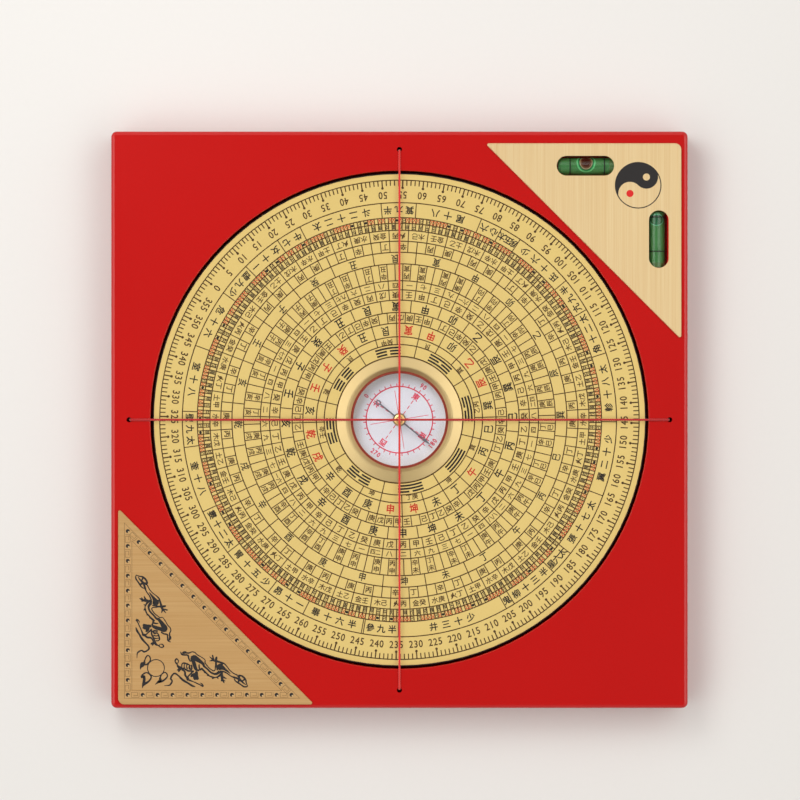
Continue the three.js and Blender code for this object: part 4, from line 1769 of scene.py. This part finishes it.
@dataclass
class LevelPlate:
    """The brushed corner plate over the vials, with the yin-yang sign.

    Args:
        sign: middle of the sign.
        sign_radius: the sign's radius.
        eye_radius: radius of each eye.
        outline: width of the line round the sign.
    """

    sign: Point = (85.6, 84.1)
    sign_radius: float = 8.35
    eye_radius: float = 1.28
    outline: float = 0.36

    def build(self, shop: Workshop) -> None:
        """Builds the plate and its sign.

        Args:
            shop: the workshop.
        """
        plate = smoothed_copy("level_plate")
        shop.stand_in("level_plate", plate, UPRIGHT_BRUSHED_BRASS, "board", "brushed_brass")
        low, high = PLATE_TOP - INK, PLATE_TOP + INK
        small = self.sign_radius / 2
        reach = small / math.sqrt(2)
        head, tail = (tuple(middle + way * reach for middle in self.sign) for way in (1, -1))
        half = circle(self.sign_radius, 48, self.sign, 45, 225)
        lobe = half + circle(small, 24, tail, 225, 45)[1:] + circle(small, 24, head, -135, 45)[1:-1]
        rims = (self.sign_radius, self.sign_radius - self.outline)
        ring = [circle(radius, 72, self.sign) for radius in rims]
        dark = [
            filled_outline("lobe", [lobe, circle(self.eye_radius, 24, head)], low, high + LAYER),
            filled_outline("outline", ring, low, high),
        ]
        shop.piece("yin_yang_dark", joined("yin_yang_dark", dark), BLACK_INK, "board")
        eye = filled_outline("eye", [circle(self.eye_radius, 24, tail)], low, high)
        shop.piece("yin_yang_red_eye", eye, RED_INK, "board")


@dataclass
class OrnamentPlate:
    """The brushed corner plate with a border of dots, each painted shade with a painted highlight, two
    dragons and a pearl.

    Places on it are counted from its square corner, along +X and +Y.

    Args:
        corner: its square corner.
        border: the inset and the far end of each fine line of the border.
        line: width of a fine line.
        stud_in: inset of the dots.
        stud_far: far end of their rows.
        stud_radius: radius of a dot.
        stud_rows: for each side, where it starts and ends, its count of dots, and how many of them the
            other sides draw at its start and its end.
        glint: the painted highlight on a dot: its radius and its shift, over its dot's radius, and its height
            over the ink's.
        fret: width and height of one turn of the key fret.
        dragon: the brush strokes of a dragon, each as x, y and width of its points.
        pearl: middle of the pearl.
        pearl_radius: its radius.
        pearl_line: width of its line.
        flames: the strokes of the pearl's three flames.
    """

    corner: Point = (-100.9, -102.1)
    border: Profile = ((2.2, 65.3), (4.9, 58.9))
    line: float = 0.14
    stud_in: float = 3.5
    stud_far: float = 62.2
    stud_radius: float = 0.72
    stud_rows: tuple[tuple[Point, Point, int, int, int], ...] = (
        ((0, 0), (1, 0), 12, 0, 0), ((0, 0), (0, 1), 12, 1, 0), ((0, 1), (1, 0), 16, 1, 1),
    )
    glint: tuple[float, float, float] = (0.42, 0.45, 1.3)
    fret: Point = (2.9, 1.9)
    dragon: tuple[Stroke, ...] = (
        ((6.4, 46.5, 0.31), (7.7, 46.0, 0.43), (8.8, 45.8, 0.6), (9.7, 45.1, 0.69), (10.3, 44.2, 0.62),
         (10.4, 43.4, 0.67), (9.9, 42.9, 0.6)),
        ((6.4, 46.3, 0.4), (6.4, 45.2, 0.57), (7.1, 44.1, 0.5), (7.8, 43.1, 0.62), (8.4, 42.2, 0.48),
         (9.2, 41.6, 0.36)),
        ((7.1, 45.8, 0.24), (7.8, 44.9, 0.55), (8.4, 44.3, 0.74), (9.1, 43.5, 0.95), (9.4, 42.7, 0.71),
         (9.7, 41.8, 0.79)),
        ((9.1, 45.7, 0.71), (8.7, 44.9, 0.55), (8.3, 44.3, 0.48)),
        ((7.8, 43.0, 0.6), (8.8, 43.4, 0.71), (10.3, 43.5, 0.71)),
        ((9.7, 41.8, 0.79), (10.2, 40.5, 0.4), (11.2, 39.1, 0.45), (11.8, 37.8, 0.55), (11.9, 36.5, 0.71)),
        ((10.5, 42.9, 0.43), (11.1, 41.6, 0.4), (11.6, 40.9, 0.36), (12.4, 40.0, 0.33),
         (13.6, 39.1, 0.38), (14.7, 38.0, 0.52), (15.2, 36.5, 0.71), (15.6, 35.2, 0.83),
         (15.9, 34.1, 0.71)),
        ((11.1, 40.3, 0.24), (11.9, 39.3, 0.6), (12.8, 38.1, 1.07), (13.3, 37.2, 1.79),
         (13.4, 36.4, 2.14), (12.7, 35.8, 1.31)),
        ((14.6, 37.5, 0.48), (14.1, 36.9, 1.31), (13.8, 36.2, 1.43), (13.6, 35.6, 0.6)),
        ((15.7, 34.9, 0.6), (16.3, 35.2, 0.83), (16.9, 35.3, 0.67), (17.1, 35.6, 0.24)),
        ((16.0, 34.3, 0.6), (16.8, 34.1, 0.55), (17.6, 33.9, 0.48), (17.8, 34.1, 0.17)),
        ((16.0, 34.2, 0.71), (15.8, 33.5, 0.55), (15.6, 32.8, 0.19)),
        ((16.0, 34.1, 0.6), (16.6, 33.5, 0.45), (17.2, 32.8, 0.19)),
        ((11.7, 37.2, 0.83), (10.9, 37.1, 1.0), (10.0, 37.3, 1.07), (9.1, 37.4, 0.83), (8.1, 37.9, 0.52),
         (7.7, 38.1, 0.17)),
        ((10.0, 37.4, 0.71), (9.7, 38.0, 0.67), (9.3, 38.9, 0.24)),
        ((9.2, 37.5, 0.71), (8.7, 37.2, 0.71), (8.3, 37.0, 0.19)),
        ((8.8, 37.8, 0.48), (8.5, 38.3, 0.29), (8.4, 38.5, 0.12)),
        ((11.2, 37.2, 0.83), (10.4, 36.4, 0.71), (9.9, 35.6, 0.52), (9.7, 34.8, 0.43), (9.8, 34.0, 0.6),
         (10.2, 32.9, 0.48), (10.7, 32.3, 0.52), (11.6, 31.3, 0.6), (12.4, 30.5, 0.74), (13.1, 29.9, 0.6)),
        ((9.7, 34.6, 0.43), (9.4, 34.0, 0.48), (9.2, 33.7, 0.12)),
        ((10.5, 32.7, 0.48), (10.4, 32.2, 0.4), (10.5, 31.8, 0.12)),
        ((11.5, 31.6, 0.48), (11.4, 31.1, 0.4), (11.5, 30.8, 0.12)),
        ((9.9, 35.6, 0.48), (9.4, 35.8, 0.36), (9.2, 36.0, 0.12)),
        ((11.9, 36.5, 1.07), (11.1, 35.5, 0.95), (11.0, 34.5, 0.71), (11.6, 33.2, 0.64),
         (12.7, 32.1, 0.64), (13.7, 30.9, 0.76), (14.6, 30.5, 1.0), (15.5, 29.4, 1.31),
         (16.3, 28.2, 1.79), (16.8, 27.2, 2.02), (17.0, 26.4, 0.95)),
        ((14.7, 35.0, 0.36), (13.6, 34.9, 0.4), (12.5, 34.8, 0.36), (12.1, 34.2, 0.4), (12.9, 32.9, 0.36),
         (13.9, 32.0, 0.36), (15.0, 31.2, 0.36), (16.0, 31.2, 0.33), (17.0, 29.9, 0.33),
         (17.8, 28.5, 0.36), (18.7, 27.5, 0.38), (18.9, 26.5, 0.4), (18.5, 25.5, 0.48), (18.5, 24.5, 0.6)),
        ((12.3, 35.6, 0.48), (13.5, 35.5, 0.71), (14.3, 35.2, 0.6), (15.4, 35.1, 0.71)),
        ((18.6, 24.6, 0.6), (18.7, 24.0, 0.95), (18.6, 23.3, 0.79), (18.8, 23.1, 0.24)),
        ((15.4, 26.0, 0.48), (16.4, 25.4, 0.52), (17.6, 25.1, 0.6), (17.8, 24.1, 0.52), (17.9, 23.1, 0.6),
         (18.4, 22.6, 0.45), (19.0, 22.4, 0.17)),
        ((17.4, 26.5, 0.6), (16.3, 26.5, 1.07), (15.2, 27.1, 1.31), (13.8, 27.5, 1.31),
         (12.7, 28.0, 1.07), (12.1, 28.5, 0.6)),
        ((13.1, 30.2, 0.48), (12.5, 29.5, 0.6), (13.4, 29.1, 0.55), (14.3, 29.1, 0.36), (14.4, 29.2, 0.14)),
        ((12.1, 28.5, 0.6), (12.4, 29.0, 0.6), (12.7, 29.4, 0.48)),
        ((14.3, 26.3, 0.48), (13.6, 26.4, 0.6), (12.7, 26.5, 0.6)),
        ((9.0, 28.8, 0.6), (9.7, 28.1, 1.79), (10.3, 27.5, 2.14), (10.5, 26.8, 1.31), (10.0, 26.0, 0.48)),
        ((8.8, 27.5, 0.48), (9.6, 27.6, 1.07), (10.7, 28.0, 1.43), (11.9, 28.2, 0.83)),
        ((11.9, 26.8, 0.71), (11.0, 26.0, 0.52), (10.0, 25.1, 0.52), (9.2, 25.0, 1.07), (8.6, 25.3, 0.48)),
        ((8.7, 25.3, 0.6), (9.7, 24.7, 0.71), (10.5, 24.1, 0.71), (11.5, 24.0, 0.71), (12.1, 23.7, 0.6),
         (12.6, 22.8, 0.55)),
        ((11.9, 27.2, 0.6), (12.0, 26.2, 0.55), (12.1, 25.1, 0.6), (12.7, 24.0, 0.6), (13.0, 23.1, 0.64),
         (12.9, 22.1, 0.95)),
        ((12.4, 26.5, 0.48), (12.9, 25.7, 0.71), (13.6, 25.6, 0.6), (14.1, 25.9, 0.36)),
        ((14.1, 25.8, 0.43), (14.6, 24.7, 0.55), (14.9, 23.5, 0.52), (14.4, 22.9, 0.4), (13.4, 22.9, 0.36)),
        ((12.7, 24.9, 0.48), (13.5, 24.6, 0.43), (14.5, 24.7, 0.36)),
        ((13.0, 23.8, 0.48), (13.8, 23.7, 0.38), (14.7, 23.8, 0.31)),
        ((12.9, 22.5, 1.07), (12.6, 21.8, 0.83), (12.3, 21.1, 0.21)),
        ((12.4, 22.1, 0.6), (11.9, 21.8, 0.6), (11.7, 21.9, 0.17)),
        ((13.1, 22.6, 0.95), (13.6, 21.6, 0.83), (14.4, 21.2, 0.43), (15.0, 20.7, 0.4),
         (15.7, 20.5, 0.48), (16.4, 20.9, 0.48), (16.0, 21.5, 0.43), (15.3, 21.7, 0.36)),
        ((15.0, 20.8, 0.36), (14.8, 21.2, 0.31), (15.2, 21.7, 0.29)),
        ((6.4, 27.7, 0.31), (6.8, 26.5, 0.74), (7.7, 25.1, 0.64), (8.5, 23.7, 0.79), (9.4, 22.6, 0.69),
         (10.4, 21.6, 0.55), (11.1, 20.6, 0.6), (11.0, 19.9, 0.62), (10.2, 19.2, 0.57), (9.3, 18.9, 0.64),
         (8.5, 19.4, 0.52), (7.5, 19.0, 0.62), (6.9, 18.3, 0.43), (6.8, 16.6, 0.14)),
        ((6.5, 30.5, 0.67), (7.1, 29.4, 0.4), (7.7, 28.1, 0.4), (8.3, 26.8, 0.4), (8.8, 25.5, 0.71)),
        ((6.5, 30.6, 0.48), (7.3, 30.2, 0.43), (7.8, 29.4, 0.14)),
    )
    pearl: Point = (13.6, 13.1)
    pearl_radius: float = 3.2
    pearl_line: float = 0.34
    flames: tuple[Stroke, ...] = (
        ((8.0, 12.6, 0.15), (8.2, 13.6, 0.77), (8.7, 14.5, 1.43), (9.3, 14.9, 0.99), (9.6, 15.9, 0.48),
         (10.1, 17.1, 0.46), (10.7, 17.6, 0.44), (11.4, 17.1, 0.46), (11.6, 16.0, 0.44),
         (11.1, 15.1, 0.51), (10.3, 14.4, 0.55), (9.5, 14.3, 0.55)),
        ((8.2, 13.4, 0.66), (8.7, 14.1, 1.32), (9.3, 14.5, 0.99)),
        ((8.7, 5.9, 0.15), (9.0, 7.1, 0.77), (9.3, 8.2, 0.99), (9.4, 9.2, 0.99), (9.3, 10.1, 0.88),
         (8.7, 9.9, 0.77), (8.2, 9.5, 0.18)),
        ((8.2, 9.9, 0.33), (8.7, 10.6, 0.51), (9.6, 11.3, 0.51), (10.5, 11.4, 0.46), (11.4, 10.8, 0.51),
         (11.9, 9.9, 0.51), (11.5, 8.9, 0.62), (10.6, 8.0, 0.72), (9.7, 7.5, 0.88), (8.8, 6.4, 0.22)),
        ((13.3, 7.2, 0.18), (14.3, 8.0, 0.77), (15.1, 8.6, 1.1), (15.1, 9.3, 0.77), (15.2, 9.9, 0.48),
         (15.7, 10.9, 0.44), (16.6, 11.5, 0.42), (17.4, 11.2, 0.44), (17.7, 10.2, 0.48),
         (17.0, 9.2, 0.55), (15.9, 8.4, 0.72), (15.1, 8.2, 0.77), (14.3, 7.8, 0.33)),
    )

    def at(self, point: Sequence[float]) -> tuple[float, ...]:
        """Moves a place on the plate into the frame."""
        return (point[0] + self.corner[0], point[1] + self.corner[1], *point[2:])

    def picture(self) -> list[Mesh]:
        """Draws both dragons, the flames and the pearl.

        Returns:
            The strokes' meshes, each a little higher than the last so that no two tops meet.
        """
        mirrored = [tuple((y, x, width) for x, y, width in stroke) for stroke in self.dragon]
        low, high, rise = PLATE_TOP - INK, PLATE_TOP + INK, 0.0006
        meshes = [
            brush_stroke([self.at(point) for point in stroke], low, high + rise * i)
            for i, stroke in enumerate([*self.dragon, *mirrored, *self.flames])
        ]
        rims = (self.pearl_radius, self.pearl_radius - self.pearl_line)
        ring = [circle(radius, 48, self.at(self.pearl)) for radius in rims]
        return [*meshes, filled_outline("pearl", ring, low, high)]

    def fine_lines(self) -> list[Mesh]:
        """Draws the border's two fine lines, each round a triangle.

        Returns:
            Their meshes.
        """
        meshes = []
        for inset, far in self.border:
            outlines = []
            for inside in (0, self.line):
                near, end = inset + inside, far - inside * (1 + math.sqrt(2))
                outlines.append([self.at(place) for place in ((near, near), (end, near), (near, end))])
            meshes.append(filled_outline("border", outlines, PLATE_TOP - INK, PLATE_TOP + INK))
        return meshes

    def rows(
        self, shop: Workshop, shape: Mesh, finish: Finish, between: bool = False
    ) -> list[Mesh]:
        """Repeats a shape along the three sides of the border.

        Args:
            shop: the workshop.
            shape: the shape, about the origin. It is removed.
            finish: its finish.
            between: True to put it between the dots and turn it with the side.

        Returns:
            One mesh for each side.
        """
        stencil = bpy.data.objects.new("stencil", shape)
        values = {"shape": stencil, "turn": between, "material": shop.material(finish)}
        reach = self.stud_far - self.stud_in
        meshes = []
        for *ends, count, skip_first, skip_last in self.stud_rows:
            start, end = (Vector(self.at([self.stud_in + reach * way for way in place])) for place in ends)
            step = (end - start) / (count - 1)
            if between:
                skip_first = skip_last = 0.5
            places = (start + step * skip_first, end - step * skip_last)
            path = path_mesh([(*place, PLATE_TOP) for place in places])
            count -= int(skip_first + skip_last)
            meshes.append(shop.row_along_path.apply(path, count=count, **values))
        bpy.data.batch_remove((stencil, shape))
        return meshes

    def dot(self, radius: float, shift: float, high: float) -> Mesh:
        """Makes one printed dot about the origin.

        Args:
            radius: its radius.
            shift: how far it lies to the lower right.
            high: height of its top over the plate.

        Returns:
            Its mesh.
        """
        return filled_outline("dot", [circle(radius, 12, (shift, -shift))], -INK, high)

    def fret_turn(self) -> Mesh:
        """Makes one turn of the key fret about the origin.

        Returns:
            Its mesh, of bars that are each a little higher than the last.
        """
        (wide, tall), line, rise = self.fret, self.line, 0.0008
        bars = (
            (-wide / 2, -tall / 2, wide, line), (-wide / 2, tall / 2 - line, wide * 0.8, line),
            (-wide / 2, -tall / 2, line, tall), (wide * 0.3 - line, -tall * 0.2, line, tall * 0.7),
            (-wide * 0.22, -tall * 0.2, wide * 0.52, line), (wide / 2 - line, -tall / 2, line, tall),
        )
        meshes = []
        for i, (x, y, w, h) in enumerate(bars):
            outline = [(x, y), (x + w, y), (x + w, y + h), (x, y + h)]
            meshes.append(filled_outline("bar", [outline], -INK, INK + rise * i))
        return joined("fret", meshes)

    def build(self, shop: Workshop) -> None:
        """Builds the plate, its border and its picture.

        Args:
            shop: the workshop.
        """
        plate = smoothed_copy("ornament_plate")
        shop.stand_in("ornament_plate", plate, ACROSS_BRUSHED_BRASS, "board", "brushed_brass")
        lines = self.fine_lines() + self.rows(shop, self.fret_turn(), BORDER_INK, True)
        # Each dark dot is painted shade, standing for the shaded hollow of a punched dimple.
        stud = self.dot(self.stud_radius, 0, INK)
        # A smaller pale gold dot at each dot's lower right is a painted highlight.
        size, shift, rise = self.glint
        glint = self.dot(self.stud_radius * size, self.stud_radius * shift, INK * rise)
        for name, meshes, finish in (
            ("dragons_and_pearl", self.picture(), BLACK_INK),
            ("border_lines", lines, BORDER_INK),
            ("border_dots", self.rows(shop, stud, BLACK_INK), BLACK_INK),
            ("border_glints", self.rows(shop, glint, PAINTED_HIGHLIGHT_INK), PAINTED_HIGHLIGHT_INK),
        ):
            shop.piece(name, joined(name, meshes), finish, "board")


@dataclass
class Board:
    """The pressed board and the felt ring in its recess."""

    def build(self, shop: Workshop) -> None:
        """Builds the board.

        Args:
            shop: the workshop.
        """
        shop.stand_in("board", smoothed_copy("board"), RED_BAKELITE, "board", "red_bakelite")
        shop.stand_in("glide_ring", smoothed_copy("glide_ring"), GREY_FELT, "board", "grey_felt", "felt")


@dataclass
class Studio:
    """The floor, lights and camera, in metres.

    Args:
        distance: from the camera to the dial's face.
        frame_width: width of what the camera sees at the face.
        aim: the place on the face in the middle of the picture.
        face: height of the dial's face.
        sensor: width of the camera's sensor, in millimetres.
        around: the wide softboxes, as levels that change with the direction: its axis, where the change
            starts and ends, and the level before and after it.
        overhead: strength of the softboxes.
        above_camera: share of it straight above the camera.
        horizon: level low down at the far side.
        wall: level of the pale wall at the horizon.
        lamp: place of the lamp.
        lamp_size: its width.
        watts: its power.
    """

    distance: float = 1.4
    frame_width: float = 0.2872
    aim: Point = (0.0002, 0.0071)
    face: float = 0.017
    sensor: float = 36.0
    around: tuple[tuple[str, float, float, float, float], ...] = (
        ("Y", -0.9, -0.35, 0.12, 0.38), ("side", 0.1, 0.6, 0.0, 0.9), ("Y", -0.3, 0.5, 0.0, 0.22),
    )
    overhead: float = 1.66
    above_camera: float = 0.14
    horizon: float = 0.49
    wall: float = 0.82
    lamp: tuple[float, float, float] = (-0.17, 0.25, 0.46)
    lamp_size: float = 0.3
    watts: float = 0.72

    def floor(self) -> None:
        """Lays a plain pale floor."""
        work = bmesh.new()
        bmesh.ops.create_grid(work, x_segments=1, y_segments=1, size=3)
        floor = new_object("floor", mesh_from(work, "floor", closed=False))
        finish = Finish(
            "floor_paper", "e4e2df", "e0dedb", 0.8, 0.02, drift_mm=300, grain_mm=2, relief_mm=0.01
        )
        floor.data.materials.append(finish.material())

    def sky(self) -> None:
        """Lights the scene like a room with wide softboxes: bright at both sides, dim above the camera."""
        world = bpy.data.worlds.new("studio")
        bpy.context.scene.world = world
        world.use_nodes = True
        tree = world.node_tree
        tree.nodes.clear()
        place = add_node(tree, "ShaderNodeTexCoord").outputs["Generated"]
        axes = add_node(tree, "ShaderNodeSeparateXYZ", {"Vector": place}).outputs
        side = add_node(tree, "ShaderNodeMath", {"operation": "ABSOLUTE", 0: axes["X"]})
        sources = {"Y": axes["Y"], "Z": axes["Z"], "side": side}
        # Each change has its axis, where it starts and ends, and the level before and after it.
        changes = (
            *self.around,
            ("Z", 0.94, 0.98, self.overhead, self.overhead * self.above_camera),
            ("Y", -0.92, -0.6, 0.06, self.horizon),
            ("side", 0.5, 0.9, 0.0, 0.3),
            ("Z", 0.48, 0.84, 0.0, 1.0),
            ("Z", 0.1, 0.24, self.wall, 0.0),
        )
        levels = []
        for axis, low, high, first, last in changes:
            ends = {"From Min": low, "From Max": high, "To Min": first, "To Max": last}
            ramp = {"interpolation_type": "SMOOTHSTEP", "Value": sources[axis]}
            levels.append(add_node(tree, "ShaderNodeMapRange", ramp | ends))
        below, beside, above, dip, far, near, rise, wall = levels
        bright = add_node(tree, "ShaderNodeMath", {"operation": "ADD", 0: below, 1: beside})
        bright = add_node(tree, "ShaderNodeMath", {"operation": "ADD", 0: bright, 1: above})
        bright = add_node(tree, "ShaderNodeMath", {"operation": "MULTIPLY", 0: bright, 1: dip})
        dim = add_node(tree, "ShaderNodeMath", {"operation": "ADD", 0: far, 1: near})
        level = add_node(tree, "ShaderNodeMix", {"data_type": "FLOAT", 0: rise, 2: dim, 3: bright})
        level = add_node(tree, "ShaderNodeMath", {"operation": "MAXIMUM", 0: level, 1: wall})
        glow = add_node(tree, "ShaderNodeBackground", {"Color": linear("fffdfa"), "Strength": level})
        add_node(tree, "ShaderNodeOutputWorld", {"Surface": glow})

    def key_lamp(self) -> None:
        """Hangs one soft lamp that faces the board."""
        light = bpy.data.lights.new("key", "AREA")
        light.shape, light.size, light.energy = "DISK", self.lamp_size, self.watts
        holder = bpy.data.objects.new("key", light)
        holder.location = self.lamp
        holder.rotation_euler = (-Vector(self.lamp)).to_track_quat("-Z", "Y").to_euler()
        holder.visible_camera = holder.visible_glossy = False
        bpy.context.scene.collection.objects.link(holder)

    def camera(self) -> None:
        """Looks straight down on the dial, from far off."""
        lens = bpy.data.cameras.new("camera")
        lens.sensor_width, lens.lens = self.sensor, self.sensor * self.distance / self.frame_width
        lens.clip_start, lens.clip_end = 0.1, 20
        holder = bpy.data.objects.new("camera", lens)
        holder.location = (*self.aim, self.face + self.distance)
        bpy.context.scene.collection.objects.link(holder)
        bpy.context.scene.camera = holder

    def build(self) -> None:
        """Sets the studio up."""
        bpy.context.scene.view_settings.view_transform = "Standard"
        self.camera()
        self.floor()
        self.sky()
        self.key_lamp()
        LOG.info("studio ready")


def main() -> None:
    """Builds the compass, sub-assembly by sub-assembly."""
    logging.basicConfig(level=logging.INFO, format="%(name)s: %(message)s")
    for leftover in list(bpy.data.objects):
        bpy.data.objects.remove(leftover)
    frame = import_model()
    LOG.info("frame has %d nodes", len(frame["nodes"]))
    Studio().build()
    shop = Workshop()
    across = SpiritLevel(
        "across", x=67.0, y=91.1, turn=0, bubble=0.0, lean=30, spread=84, marks=(-5.75, 6.55),
        finish=BUBBLE_PAINTED_DARK_REFLECTION,
    )
    upright = SpiritLevel(
        "upright", x=92.3, y=64.8, turn=-90, bubble=-7.0, lean=0, spread=62, marks=(-8.0, 4.3),
        finish=BUBBLE_PAINTED_RIM_LIGHT, bubble_reach=2.2,
    )
    for part in (Board(), Dial(), Capsule(), Threads(), across, upright, LevelPlate(), OrnamentPlate()):
        part.build(shop)
    shop.stencils.clear()
    bpy.context.view_layer.update()


if __name__ == "__main__":
    main()
